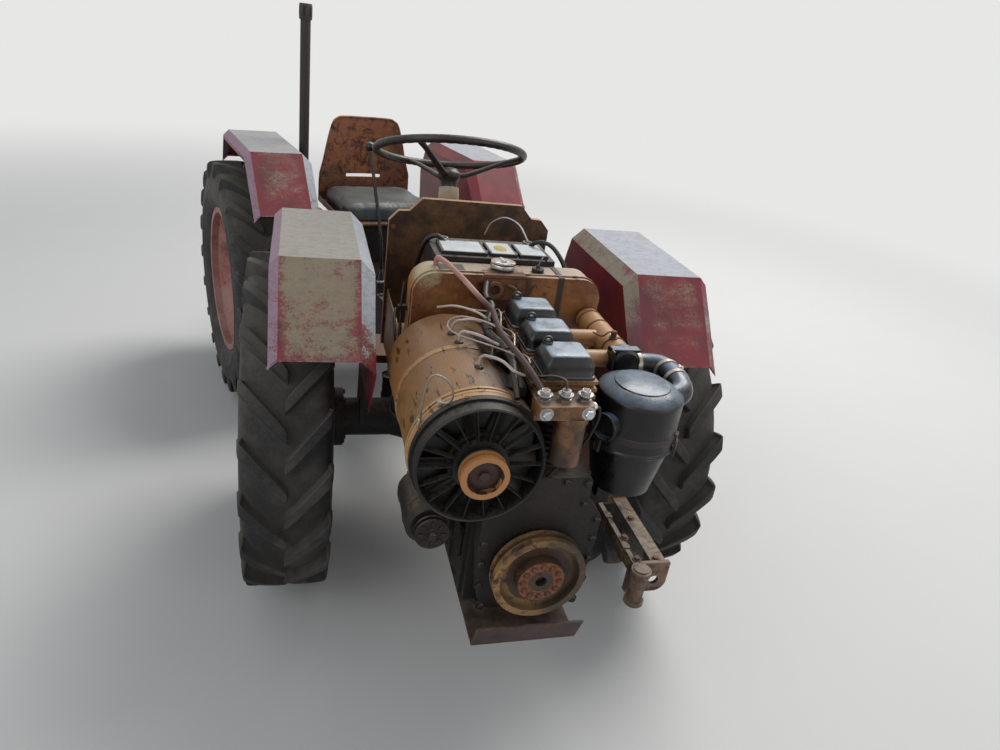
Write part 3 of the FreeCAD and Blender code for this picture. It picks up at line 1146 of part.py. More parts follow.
def seat():
    """A pressed pan with a curved back and rolled edges, its cushion, and the stand."""
    low = f"{SEAT_TOP} - cushionThick"
    back = "seatFront + seatDepth"
    base = slab("seat_base", "Z", [("-seatHalf", "seatFront", 40), ("seatHalf", "seatFront", 40),
                                   ("seatHalf - 10", f"{back} + 15", 30),
                                   ("-seatHalf + 10", f"{back} + 15", 30)],
                (f"{low} - panThick", low))
    roll = bar("seat_roll", "X", ("seatFront + 2", f"{low} - 8"), "8", ("-seatHalf + 38", "seatHalf - 38"))
    ledges = [slab("seat_ledge", "Z", [(f"{sign} * seatHalf", "seatFront + 42", 0),
                                       (f"{sign} * (seatHalf - 9)", f"{back} - 20", 0),
                                       (f"{sign} * (seatHalf - 13)", f"{back} - 20", 0),
                                       (f"{sign} * (seatHalf - 4)", "seatFront + 42", 0)],
                   (f"{low} - 1", f"{low} + 22")) for sign in (-1, 1)]
    sheet_back = tube("seat_curve", "Z", ("0", f"{back} + 16 - backCurve"), "backCurve", "backCurve - panThick",
                      (f"{low} - 1", f"{BACK_TOP} + 1"))
    shape = slab("seat_outline", "Y", [("-backHalfLow", f"{low} - 1", 0), ("backHalfLow", f"{low} - 1", 0),
                                       ("backHalfLow", f"{SEAT_TOP} + 50", 40), ("backHalfTop", BACK_TOP, 50),
                                       ("-backHalfTop", BACK_TOP, 50), ("-backHalfLow", f"{SEAT_TOP} + 50", 40)],
                 (f"{back} - 80", f"{back} + 30"))
    slot = slab("seat_slot", "Y", [("-85", f"{SEAT_TOP} + 30", 5), ("85", f"{SEAT_TOP} + 30", 5),
                                   ("85", f"{SEAT_TOP} + 45", 5), ("-85", f"{SEAT_TOP} + 45", 5)],
                (f"{back} - 20", f"{back} + 25"))
    rest = cut("seat_rest", common("seat_bent", sheet_back, shape), slot)
    node("seat_pan", [base, roll, rest] + ledges, REAR)
    deep = f"{back} - cushionBack"
    cushion = slab("cushion", "Z", [("-seatHalf + 6", "seatFront + 2", 30),
                                    ("seatHalf - 6", "seatFront + 2", 30),
                                    ("seatHalf - 20", deep, 30), ("-seatHalf + 20", deep, 30)],
                   (f"{low} + seatGap", SEAT_TOP))
    node("seat_cushion", [cushion], REAR)
    deck = "liftHeight + 45"
    under = f"{low} - panThick"
    foot = block("stand_foot", ("-95", "95"), ("shaftBack - 240", "shaftBack - 40"), (deck, f"{deck} + 6"))
    sides = [slab("stand_side", "X", [("shaftBack - 240", deck, 0), ("shaftBack - 40", deck, 0),
                                      ("shaftBack - 70", under, 0), ("shaftBack - 225", under, 0)],
                  (x, f"{x} + 6"))
             for x in ("-95", "89")]
    brace = block("stand_brace", ("-92", "92"), ("shaftBack - 150", "shaftBack - 144"), (deck, under))
    node("seat_stand", [foot, brace] + sides, REAR)


def gear_lever():
    top = num("boxTop - 30")
    box = slab("lever_box", "X", [("leverY - 45", "boxTop - 30", 0), ("leverY + 45", "boxTop - 30", 0),
                                  ("leverY + 30", "boxTop + 20", 12), ("leverY - 30", "boxTop + 20", 12)],
               ("leverX - 26", "leverX + 26"))
    knob = Vector(num("knobX"), num("knobY"), num("knobZ"))
    foot = Vector(num("leverX"), num("leverY"), top + 30)
    crank = foot + Vector(0, 0, (knob.z - foot.z) * 0.3)
    rod = feature("lever_rod", pipe([foot, crank, knob], 7))
    ball = feature("lever_knob", Part.makeSphere(20, knob))
    boot = taper("lever_boot", "Z", ("leverX", "leverY"), ("22", "9"), ("boxTop + 19", "boxTop + 62"))
    node("gear_lever", [box, rod, ball, boot], REAR)


def exhaust():
    """An upright pipe with a slotted cap, seated on the rear axle."""
    at = ("stackX", "stackY")
    pipe_part = bar("stack_pipe", "Z", at, "stackRadius", ("boxTop", "stackTop - 40"))
    head = bar("stack_head", "Z", at, "stackRadius + 4", ("stackTop - 60", "stackTop"))
    clip = bar("stack_clip", "Z", at, "stackRadius + 5", ("boxTop + 60", "boxTop + 84"))
    foot = block("stack_foot", ("stackX - 17", "stackX + 24"), ("stackY - 24", "stackY + 24"),
                 ("45", "boxTop + 10"))
    saddle = taper("stack_saddle", "X", ("pivotToRear", "0"), ("axleTube + seatGap", "axleTube + seatGap + 0.1"),
                   ("stackX - 60", "stackX + 60"))
    node("exhaust_stack", [cut("stack_seated", fuse("stack", [pipe_part, head, clip, foot]), saddle)], REAR)


front_drive()
ram()
yoke()
rear_drive()
lift_linkage()
seat()
gear_lever()
exhaust()
doc.recompute()


# Origin: the middle of the whole tractor's footprint, on the ground


def settle():
    """Place each node, then centre the whole on the origin."""
    for thing, place in nodes:
        thing.Placement = place
    doc.recompute()
    box = FreeCAD.BoundBox()
    for thing, place in nodes:
        box.add(thing.Shape.optimalBoundingBox(False, False))
    shift = Vector(-(box.XMin + box.XMax) / 2, -(box.YMin + box.YMax) / 2, -box.ZMin)
    for thing, place in nodes:
        thing.Placement = Placement(shift, Rotation()).multiply(place)
    doc.recompute()
    print("box", [round(v, 2) for v in (box.XLength, box.YLength, box.ZLength)])
    print("shift", [round(v, 3) for v in shift])


def check():
    """Stop if an object failed or a piece has no sound solid."""
    for thing in doc.Objects:
        for mark in ("Invalid", "Error"):
            if mark in thing.State:
                raise SystemExit(f"{thing.Name} is {mark}")
    for thing, place in nodes:
        shape = thing.Shape
        if shape.isNull() or not shape.isValid() or not shape.Solids:
            raise SystemExit(f"{thing.Label} has no sound solid")


settle()
check()
os.makedirs("parts", exist_ok=True)
for thing, place in nodes:
    thing.Shape.exportStep(f"parts/{thing.Label}.step")
    print(thing.Label, len(thing.Shape.Solids), round(thing.Shape.Volume / 1e6, 3))
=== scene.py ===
import bmesh
import bpy
import json
import math
from mathutils import Matrix, Vector, noise


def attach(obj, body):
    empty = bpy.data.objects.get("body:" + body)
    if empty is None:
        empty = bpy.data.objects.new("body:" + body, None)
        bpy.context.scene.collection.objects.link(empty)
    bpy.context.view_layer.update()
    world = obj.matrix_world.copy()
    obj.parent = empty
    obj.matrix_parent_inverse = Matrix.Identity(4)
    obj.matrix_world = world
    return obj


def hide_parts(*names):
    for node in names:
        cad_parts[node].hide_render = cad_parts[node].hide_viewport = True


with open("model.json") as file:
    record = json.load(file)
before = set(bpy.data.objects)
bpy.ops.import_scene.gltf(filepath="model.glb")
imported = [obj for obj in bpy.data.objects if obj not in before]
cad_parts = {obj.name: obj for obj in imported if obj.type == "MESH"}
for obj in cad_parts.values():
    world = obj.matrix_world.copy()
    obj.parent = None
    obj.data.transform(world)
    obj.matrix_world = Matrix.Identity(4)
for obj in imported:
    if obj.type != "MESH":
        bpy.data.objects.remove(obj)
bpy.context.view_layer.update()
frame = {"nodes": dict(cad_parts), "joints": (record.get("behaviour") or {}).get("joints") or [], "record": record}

# An old articulated farm tractor without its bonnet, dressed over its frame of solids. Metres.

NODES = frame["nodes"]
JOINTS = {joint["name"]: joint for joint in frame["joints"]}
PIVOT = Vector(JOINTS["articulation"]["pos_m"])
PIVOT_BACK = 0.530
REAR_AXLE = 0.900
BEND = math.atan2(JOINTS["rear_left_spin"]["axis"][1], JOINTS["rear_left_spin"]["axis"][0])

# Pieces are drawn from the middle of the front axle, or straight behind the pivot, at axle height.
FRONT = Matrix.Translation(PIVOT - Vector((0, PIVOT_BACK, 0)))
REAR = Matrix.Translation(PIVOT) @ Matrix.Rotation(BEND, 4, "Z")
BLOWER = (-0.172, 0.385)
CRANK = (0.0, 0.087)


# Materials


def tone(text):
    """A colour written the way a paint chart gives it, turned to linear light."""
    parts = [int(text[i:i + 2], 16) / 255 for i in (0, 2, 4)]
    return tuple(p / 12.92 if p <= 0.04045 else ((p + 0.055) / 1.055) ** 2.4 for p in parts) + (1.0,)


class Paint:
    """A small helper that wires one procedural material."""

    def __init__(self, name):
        self.material = bpy.data.materials.new(name)
        self.material.use_nodes = True
        self.tree = self.material.node_tree
        self.shader = self.tree.nodes["Principled BSDF"]
        self.place = self.add("ShaderNodeTexCoord").outputs["Object"]

    def add(self, kind, **values):
        made = self.tree.nodes.new(kind)
        for key, value in values.items():
            setattr(made, key, value)
        return made

    def link(self, value, socket):
        if isinstance(value, (int, float, tuple)):
            socket.default_value = value
        else:
            self.tree.links.new(value, socket)

    def noise(self, scale, detail=4.0, rough=0.6, stretch=None, warp=0.0):
        where = self.place
        if stretch:
            mapping = self.add("ShaderNodeMapping")
            self.link(where, mapping.inputs["Vector"])
            mapping.inputs["Scale"].default_value = stretch
            where = mapping.outputs["Vector"]
        made = self.add("ShaderNodeTexNoise")
        self.link(where, made.inputs["Vector"])
        made.inputs["Scale"].default_value = scale
        made.inputs["Detail"].default_value = detail
        made.inputs["Roughness"].default_value = rough
        made.inputs["Distortion"].default_value = warp
        return made.outputs["Fac"]

    def attribute(self, name):
        return self.add("ShaderNodeAttribute", attribute_name=name).outputs["Fac"]

    def step(self, value, low, high, start=0.0, end=1.0):
        """Rise smoothly from start to end while value goes from low to high."""
        made = self.add("ShaderNodeMapRange", interpolation_type="SMOOTHSTEP", clamp=True)
        self.link(value, made.inputs["Value"])
        made.inputs["From Min"].default_value = low
        made.inputs["From Max"].default_value = high
        made.inputs["To Min"].default_value = start
        made.inputs["To Max"].default_value = end
        return made.outputs["Result"]

    def sum(self, first, second, kind="ADD", clamp=True):
        made = self.add("ShaderNodeMath", operation=kind, use_clamp=clamp)
        self.link(first, made.inputs[0])
        self.link(second, made.inputs[1])
        return made.outputs["Value"]

    def times(self, first, second):
        return self.sum(first, second, "MULTIPLY")

    def most(self, first, second):
        return self.sum(first, second, "MAXIMUM")

    def mix(self, share, low, high):
        made = self.add("ShaderNodeMix", data_type="RGBA")
        self.link(share, made.inputs["Factor"])
        self.link(low, made.inputs["A"])
        self.link(high, made.inputs["B"])
        return made.outputs["Result"]

    def facing(self, axis="Z"):
        """How far the surface faces along an axis, from -1 to 1."""
        parts = self.add("ShaderNodeSeparateXYZ")
        self.link(self.add("ShaderNodeNewGeometry").outputs["Normal"], parts.inputs[0])
        return parts.outputs[axis]

    def where(self, axis):
        parts = self.add("ShaderNodeSeparateXYZ")
        self.link(self.place, parts.inputs[0])
        return parts.outputs[axis]

    def from_axis(self, x, z):
        """Distance from a line along Y at x and z of the front half."""
        away = self.add("ShaderNodeVectorMath", operation="SUBTRACT")
        self.link(self.place, away.inputs[0])
        away.inputs[1].default_value = FRONT @ Vector((x, 0, z))
        flat = self.add("ShaderNodeVectorMath", operation="MULTIPLY")
        self.link(away.outputs[0], flat.inputs[0])
        flat.inputs[1].default_value = (1, 0, 1)
        length = self.add("ShaderNodeVectorMath", operation="LENGTH")
        self.link(flat.outputs[0], length.inputs[0])
        return length.outputs["Value"]

    def near(self, spot, reach):
        """1 around a point of the front half, with a ragged border at reach."""
        away = self.add("ShaderNodeVectorMath", operation="DISTANCE")
        self.link(self.place, away.inputs[0])
        away.inputs[1].default_value = FRONT @ Vector(spot)
        ragged = self.sum(self.sum(self.noise(26, 7.0, 0.75), -0.5, clamp=False), reach * 2.2, "MULTIPLY", False)
        return self.step(self.sum(away.outputs["Value"], ragged, clamp=False), reach, reach * 0.6)

    def edges(self, radius):
        """A mask that is 1 at sharp edges, from the difference of the rounded and the true normal."""
        rounded = self.add("ShaderNodeBevel", samples=4)
        rounded.inputs["Radius"].default_value = radius
        flat = self.add("ShaderNodeNewGeometry").outputs["Normal"]
        dot = self.add("ShaderNodeVectorMath", operation="DOT_PRODUCT")
        self.link(rounded.outputs["Normal"], dot.inputs[0])
        self.link(flat, dot.inputs[1])
        return self.step(dot.outputs["Value"], 0.99, 0.86)

    def hollows(self, distance):
        """A mask that is 1 in corners and gaps, where dirt stays."""
        made = self.add("ShaderNodeAmbientOcclusion", samples=4)
        made.inputs["Distance"].default_value = distance
        return self.step(made.outputs["AO"], 0.9, 0.35)

    def bump(self, height, strength, distance):
        made = self.add("ShaderNodeBump")
        made.inputs["Strength"].default_value = strength
        made.inputs["Distance"].default_value = distance
        self.link(height, made.inputs["Height"])
        self.link(made.outputs["Normal"], self.shader.inputs["Normal"])

    def done(self, colour, rough, metal=0.0, specular=0.5):
        self.link(colour, self.shader.inputs["Base Color"])
        self.link(rough, self.shader.inputs["Roughness"])
        self.link(metal, self.shader.inputs["Metallic"])
        self.shader.inputs["Specular IOR Level"].default_value = specular
        return self.material


RUST_DARK = tone("2f1a12")
RUST = tone("7a4326")
DUST = tone("8d8172")
GRIME = tone("16120f")


def worn_paint(name, base, faded, under, chip=0.5, rust=0.5, dust=0.5, gloss=0.45, grime=0.0, patch=7.0, layers=()):
    """Old paint: faded in patches, chipped to an undercoat and to rust, worn pale along its edges, under layers."""
    p = Paint(name)
    broad = p.noise(patch * 0.5, 5.0, 0.62)
    fine = p.noise(patch * 14, 6.0, 0.7)
    spots = p.noise(patch * 3.1, 9.0, 0.78, warp=0.6)
    colour = p.mix(p.step(broad, 0.38, 0.66), base, faded)
    colour = p.mix(p.step(fine, 0.35, 0.8, 0.0, 0.25), colour, under)
    edge = p.times(p.edges(0.005), p.step(p.noise(patch * 9, 4.0), 0.36, 0.56))
    bare = p.most(p.step(spots, 0.74 - 0.16 * chip, 0.76 - 0.16 * chip), edge)
    colour = p.mix(bare, colour, under)
    core = p.step(p.noise(patch * 1.7, 10.0, 0.8, warp=0.4), 0.72 - 0.18 * rust, 0.76 - 0.18 * rust)
    stain = p.mix(p.step(fine, 0.35, 0.65), RUST_DARK, RUST)
    colour = p.mix(core, colour, stain)
    if grime:
        spread = p.step(p.noise(9, 6.0, 0.7), 0.66 - 0.34 * grime, 0.76 - 0.2 * grime)
        dirty = p.times(p.most(p.hollows(0.07), spread), min(1.0, grime * 1.15))
        colour = p.mix(dirty, colour, GRIME)
    settled = p.times(p.step(p.facing("Z"), 0.3, 0.9), p.step(p.noise(23, 5.0), 0.3, 0.7, 0.15 * dust, dust))
    colour = p.mix(settled, colour, DUST)
    for layer in layers:
        mask, tint = layer(p)
        colour = p.mix(mask, colour, tint)
    rough = p.step(p.most(bare, core), 0.0, 1.0, gloss, 0.85)
    p.bump(p.sum(p.times(fine, 0.4), p.times(bare, -1.0)), 0.5, 0.0012)
    return p.done(colour, rough)


def wing_paint(name, red, dark, bare, cold, lilac):
    """A wing's paint, gone where the mesh's wear says so, over a warm, bluish (cold 1) or lilac (cold 2) undercoat; the
    bluish one is a pale undercoat with a painted sky reflection.
    """
    p = Paint(name)
    fine = p.noise(190, 9.0, 0.85)
    ragged = p.sum(p.sum(p.noise(7, 8.0, 0.75, warp=0.8), -0.5, clamp=False), 1.25, "MULTIPLY", False)
    streaks = p.sum(p.sum(p.noise(30, 7.0, 0.75, stretch=(0.25, 0.5, 1.0)), -0.5, clamp=False), 0.9, "MULTIPLY", False)
    specks = p.sum(p.sum(fine, -0.5, clamp=False), 1.5, "MULTIPLY", False)
    level = p.sum(p.sum(p.sum(ragged, streaks, clamp=False), specks, clamp=False), p.attribute("wear"), clamp=False)
    gone = p.step(level, 0.46, 0.54)
    paint = p.mix(p.step(p.noise(9, 5.0), 0.3, 0.7), red, dark)
    paint = p.mix(p.step(level, 0.2, 0.5, 0.0, 0.3), paint, bare)
    # cold 1 lays the bluish tone, a painted sky reflection over the pale undercoat
    chill = p.attribute("cold")
    coat_and_sky = p.mix(p.step(chill, 0.0, 1.0), bare, cold)
    coat_and_sky = p.mix(p.step(chill, 1.0, 2.0), coat_and_sky, lilac)
    mottle = p.step(p.noise(75, 8.0, 0.8, stretch=(0.5, 1.0, 1.0)), 0.44, 0.6, 0.0, 0.38)
    coat_and_sky = p.mix(mottle, coat_and_sky, tone("6f6a60"))
    colour = p.mix(p.times(gone, p.step(fine, 0.3, 0.7, 1.0, 0.72)), paint, coat_and_sky)
    # edges wear to the same bluish tone as the painted reflection
    edge = p.times(p.edges(0.004), p.step(p.noise(34, 4.0), 0.4, 0.62))
    colour = p.mix(p.times(edge, 0.6), colour, cold)
    rust = p.step(p.noise(13, 10.0, 0.8, warp=0.5), 0.645, 0.68)
    colour = p.mix(p.times(rust, 0.85), colour, p.mix(p.step(fine, 0.4, 0.6), RUST_DARK, RUST))
    colour = p.mix(p.times(p.hollows(0.04), 0.5), colour, GRIME)
    p.bump(p.sum(p.times(fine, 0.3), p.times(gone, -1.0)), 0.5, 0.0009)
    return p.done(colour, p.step(gone, 0.0, 1.0, 0.42, 0.75))


def bare_iron(name, low, high, rust=0.5, grime=0.5, gloss=0.7, metal=0.0):
    """Cast or forged iron under rust, old oil and dust."""
    p = Paint(name)
    broad = p.noise(5, 6.0, 0.65)
    fine = p.noise(90, 8.0, 0.75)
    colour = p.mix(p.step(broad, 0.35, 0.65), low, high)
    colour = p.mix(p.step(p.noise(17, 9.0, 0.75), 0.72 - 0.28 * rust, 0.8 - 0.2 * rust), colour, RUST)
    oil = p.most(p.hollows(0.05), p.step(p.noise(8, 6.0), 0.6, 0.72))
    colour = p.mix(p.times(oil, grime), colour, GRIME)
    colour = p.mix(p.times(p.step(p.facing("Z"), 0.35, 0.95), p.step(fine, 0.3, 0.7, 0.1, 0.5)), colour, DUST)
    p.bump(fine, 0.45, 0.0015)
    return p.done(colour, p.step(fine, 0.3, 0.7, gloss - 0.12, gloss + 0.15), metal, 0.35)


def rubber(name):
    """Tyre rubber: dusty in its hollows and along the walls, scuffed paler on the lugs' tops."""
    p = Paint(name)
    fine = p.noise(120, 8.0, 0.75)
    dusty = p.most(p.times(p.hollows(0.06), 0.9), p.step(p.noise(6, 7.0, 0.7), 0.42, 0.7, 0.0, 0.75))
    colour = p.mix(p.times(dusty, p.step(fine, 0.2, 0.7, 0.4, 1.0)), tone("19191b"), tone("57514a"))
    colour = p.mix(p.times(p.edges(0.006), p.step(fine, 0.4, 0.6, 0.0, 0.6)), colour, tone("3a3735"))
    colour = p.mix(p.times(p.step(p.facing("Z"), 0.4, 0.95), 0.35), colour, tone("726d60"))
    p.bump(fine, 0.4, 0.001)
    return p.done(colour, p.step(fine, 0.3, 0.7, 0.62, 0.9))


def plain_plastic(name, base, high, gloss=0.5, grain=60.0, dust=0.45, layers=()):
    """Plastic, vinyl, paper or dull enamel: two tones, dust on top and any layers over that."""
    p = Paint(name)
    fine = p.noise(grain, 7.0, 0.7)
    colour = p.mix(p.step(p.noise(12, 5.0), 0.4, 0.68, 0.0, 0.8), base, high)
    colour = p.mix(p.times(p.step(p.facing("Z"), 0.3, 0.9), p.step(fine, 0.3, 0.7, 0.0, dust)), colour, DUST)
    for layer in layers:
        mask, tint = layer(p)
        colour = p.mix(mask, colour, tint)
    p.bump(fine, 0.25, 0.0006)
    return p.done(colour, p.step(fine, 0.3, 0.7, gloss - 0.1, gloss + 0.15), 0.0, 0.4)


def enamel(name, base, dusty):
    """Black enamel under oil and dust: glossy on its sides, bluish grey on top, where the dust carries a painted sky
    reflection.
    """
    p = Paint(name)
    fine = p.noise(140, 8.0, 0.75)
    film = p.noise(14, 6.0, 0.7)
    # painted reflection: faces turned up take the bluish grey of a reflected sky, in patches with the dust film; the
    # dusty argument carries that colour
    top = p.times(p.step(p.facing("Z"), 0.6, 0.97), p.step(film, 0.3, 0.62, 0.45, 0.9))
    colour = p.mix(top, base, dusty)
    colour = p.mix(p.times(p.edges(0.004), p.step(fine, 0.4, 0.6, 0.0, 0.7)), colour, tone("56504a"))
    colour = p.mix(p.step(p.noise(30, 9.0, 0.8), 0.66, 0.70, 0.0, 0.7), colour, RUST)
    p.bump(p.sum(p.times(fine, 0.5), p.times(film, 0.5)), 0.3, 0.001)
    return p.done(colour, p.step(film, 0.35, 0.65, 0.2, 0.48), 0.0, 0.42)


# Marks that belong to one place, stains together with painted shade and painted light: each gives a mask and the tint
# laid there


# painted shade: the inside of the duct's bore is made near-black
def shaded_duct_inside(p):
    return p.step(p.from_axis(*BLOWER), 0.1486, 0.1472), tone("0c0a09")


def scratches(p):
    return p.times(p.step(p.noise(46, 5.0, 0.62, stretch=(1.0, 0.24, 1.0)), 0.61, 0.64), 0.85), RUST_DARK


def pale_rub(p):
    return p.times(p.near((-0.085, -0.745, 0.515), 0.095), 0.6), tone("b5a096")


def oil_by_heads(p):
    return p.times(p.near((-0.060, -0.560, 0.500), 0.13), 0.8), GRIME


# painted shade and grime: the dash's faces turned to the engine go dark brown
def shade_and_grime_front(p):
    ragged = p.step(p.noise(11, 7.0, 0.75), 0.36, 0.66, 0.98, 0.72)
    return p.times(p.step(p.facing("Y"), -0.5, -0.9), ragged), tone("20140f")


# painted shade: the tank's faces turned to the engine go dark, in ragged patches
def shaded_tank_front(p):
    ragged = p.step(p.noise(8, 7.0, 0.75), 0.36, 0.66, 0.9, 0.5)
    return p.times(p.step(p.facing("Y"), -0.5, -0.9), ragged), tone("5c2b14")


def tank_rust(p):
    return p.times(p.near((-0.010, -0.335, 0.575), 0.105), 0.9), RUST_DARK


def tank_spots(p):
    return p.times(p.step(p.noise(21, 8.0, 0.8, warp=0.8), 0.585, 0.62), 0.92), tone("1f120d")


def tank_corner(p):
    return p.times(p.near((-0.225, -0.290, 0.620), 0.060), 0.6), tone("aca27a")


# painted sunlight and dust: the tank's up-facing faces turn pale
def sunlit_dusty_top(p):
    return p.times(p.step(p.facing("Z"), 0.5, 0.95), p.step(p.noise(12, 7.0, 0.75), 0.35, 0.6, 0.3, 0.8)), tone("a3968a")


def below_heads(p):
    height = (FRONT @ Vector((0, 0, 0.500))).z
    return p.times(p.step(p.where("Z"), height + 0.012, height - 0.012), 0.85), tone("17120f")


def head_oil(p):
    return p.step(p.noise(16, 7.0, 0.75), 0.47, 0.6, 0.0, 0.75), tone("241812")


def ring(axis, low, high, tint, share=0.9, ragged=0.0):
    """A ring of tint between two radii about an axis of the engine."""
    def layer(p):
        away = p.from_axis(*axis)
        if ragged:
            away = p.sum(away, p.sum(p.sum(p.noise(30, 6.0, 0.75), -0.5, clamp=False), ragged, "MULTIPLY", False), clamp=False)
        band = p.times(p.step(away, low - 0.0015, low), p.step(away, high + 0.0015, high))
        return p.times(band, share), tint
    return layer


def dull_half(p):
    side = p.step(p.where("X"), PIVOT.x - 0.01, PIVOT.x + 0.05)
    return p.times(side, p.step(p.noise(14, 6.0, 0.7), 0.3, 0.6, 0.5, 0.9)), tone("332c22")


def old_rust(p):
    return p.times(p.step(p.noise(24, 9.0, 0.8, warp=0.6), 0.5, 0.58), 0.85), tone("2c1710")


def blackened_end(p):
    start = (FRONT @ Vector((0, -0.400, 0))).y
    return p.times(p.step(p.where("Y"), start + 0.02, start - 0.07), 0.9), tone("191412")


def only_front(p, y):
    return p.step(p.where("Y"), (FRONT @ Vector((0, y, 0))).y + 0.001, (FRONT @ Vector((0, y, 0))).y - 0.001)


def pulley_face(low, high, tint, share):
    """A ring on the front face of the blower's pulley."""
    def layer(p):
        mask, _ = ring(BLOWER, low, high, tint, share, 0.012)(p)
        return p.times(mask, only_front(p, -0.884)), tint
    return layer


ORANGE, ORANGE_FADED, ORANGE_UNDER = tone("b27e45"), tone("966236"), tone("c9b48f")

SURFACES = {
    "tyre": rubber("tyre_rubber"),
    "rim_red": worn_paint("rim_paint", tone("853f3a"), tone("a3766c"), tone("b9a79b"), 0.6, 0.7, 0.5, 0.55, 0.4),
    # the fourth tone is the bluish painted sky reflection on the wings' pale undercoat
    "wing_red": wing_paint("wing_paint", tone("7d1c29"), tone("571621"), tone("8a826d"), tone("a6aeb8"), tone("a0859a")),
    "body_orange": worn_paint("body_paint", ORANGE, ORANGE_FADED, ORANGE_UNDER, 0.15, 0.6, 0.4, 0.45, 0.4),
    "engine_orange": worn_paint("engine_paint", tone("8a5a2c"), tone("643f22"), tone("a58a60"), 0.2, 0.6, 0.3, 0.45, 0.8),
    "dark_iron": bare_iron("oily_iron", tone("131010"), tone("211b18"), 0.25, 0.85, 0.55),
    "rusty_steel": bare_iron("rusty_steel", tone("4a2f21"), tone("6f4a33"), 0.6, 0.5, 0.8),
    # the enamel's second tone is its bluish top: dust with a painted sky reflection
    "black_gloss": enamel("black_enamel", tone("0b0b0d"), tone("647283")),
    "black_plastic": plain_plastic("black_plastic", tone("121214"), tone("232224"), 0.5),
    "seat_orange": worn_paint("seat_paint", tone("8b5231"), tone("5c3320"), tone("b9844f"), 0.3, 1.0, 0.25, 0.5, 0.4,
                              layers=(old_rust,)),
    "seat_vinyl": plain_plastic("seat_vinyl", tone("363e41"), tone("56605f"), 0.42, 220.0, 0.3),
    "guard_red": worn_paint("guard_paint", tone("35161a"), tone("40201e"), tone("6b5d53"), 0.4, 0.5, 0.4, 0.6, 0.7),
    "bright_steel": bare_iron("worn_steel", tone("85817a"), tone("a9a59d"), 0.15, 0.3, 0.4, 0.8),
    "hose_pink": plain_plastic("faded_hose", tone("a4786c"), tone("c4a096"), 0.6, 200.0, 0.3, (blackened_end,)),
}

PAINTS = {
    # the covers' second tone is their pale bluish top: dust with a painted sky reflection
    "covers": enamel("cover_enamel", tone("0c0c0e"), tone("9ca8b5")),
    "wheel_dark": plain_plastic("wheel_grip", tone("1a1513"), tone("352c27"), 0.4, 90.0, 0.3),
    "label": plain_plastic("label_paper", tone("b7bdbf"), tone("d3d9db"), 0.5, 40.0, 0.2),
    "stain": plain_plastic("label_stain", tone("a58a35"), tone("c4ad62"), 0.6, 40.0, 0.2),
    # painted shade: near-black for the inside of openings
    "bore": plain_plastic("dark_bore", tone("060606"), tone("0c0b0b"), 0.8, 60.0, 0.0),
    "collar": plain_plastic("collar_beige", tone("9b8a76"), tone("c2b39c"), 0.6, 90.0),
    "dial": plain_plastic("dial_face", tone("101113"), tone("1a1b1e"), 0.3, 90.0),
    "stack": worn_paint("stack_black", tone("1a1716"), tone("2b2421"), tone("4c3a30"), 0.4, 0.7, 0.2, 0.6, 0.3),
    "loom": plain_plastic("loom_black", tone("0d0c0c"), tone("1c1a19"), 0.45, 150.0, 0.25),
    "blower": plain_plastic("blower_black", tone("0b0b0c"), tone("1a1918"), 0.5, 120.0, 0.22),
    "silver": bare_iron("clean_steel", tone("a9abad"), tone("cfd1d2"), 0.05, 0.2, 0.3, 0.9),
    # painted highlight: a pale matte tone stands for the glints on the bare steel injection and leak-off pipes
    "pipe_pale": plain_plastic("pale_pipe", tone("a6958c"), tone("d0c4bc"), 0.35, 120.0, 0.2),
    "duct": worn_paint("duct_paint", ORANGE, tone("a26f3a"), ORANGE_UNDER, 0.1, 0.55, 0.4, 0.42, 0.3,
                       layers=(scratches, pale_rub, oil_by_heads, shaded_duct_inside)),
    "dash": worn_paint("dash_paint", ORANGE, ORANGE_FADED, ORANGE_UNDER, 0.25, 0.7, 0.45, 0.5, 0.4,
                       layers=(shade_and_grime_front,)),
    "tank": worn_paint("tank_paint", ORANGE, tone("9c6a35"), ORANGE_UNDER, 0.15, 0.6, 0.6, 0.42, 0.35,
                       layers=(shaded_tank_front, sunlit_dusty_top, tank_spots, tank_corner, tank_rust)),
    "heads": worn_paint("head_paint", tone("98642f"), tone("74491f"), tone("a58a60"), 0.2, 0.6, 0.3, 0.45, 0.3,
                        layers=(head_oil, below_heads)),
    "carrier": worn_paint("carrier_paint", tone("8a6038"), tone("6d5640"), tone("8d8272"), 0.4, 0.8, 0.6, 0.6, 0.7,
                          layers=(old_rust,)),
    "pulley": worn_paint("pulley_paint", tone("8f6a3c"), tone("7a4f2a"), tone("9c8258"), 0.2, 0.8, 0.2, 0.6, 0.5,
                         layers=(old_rust, dull_half, ring(CRANK, 0.030, 0.078, tone("2a1610"), 0.85, 0.02),
                                 ring(CRANK, 0.034, 0.054, tone("9a5527"), 0.6, 0.03),
                                 ring(CRANK, 0.0, 0.028, tone("120d0b"), 0.85, 0.008))),
    "rotor": worn_paint("rotor_paint", tone("0c0b0b"), tone("171412"), tone("2a2420"), 0.1, 0.3, 0.1, 0.55, 0.3,
                        layers=(pulley_face(0.0405, 0.056, tone("ad7747"), 0.95),
                                pulley_face(0.0, 0.0385, tone("341a11"), 0.92))),
}

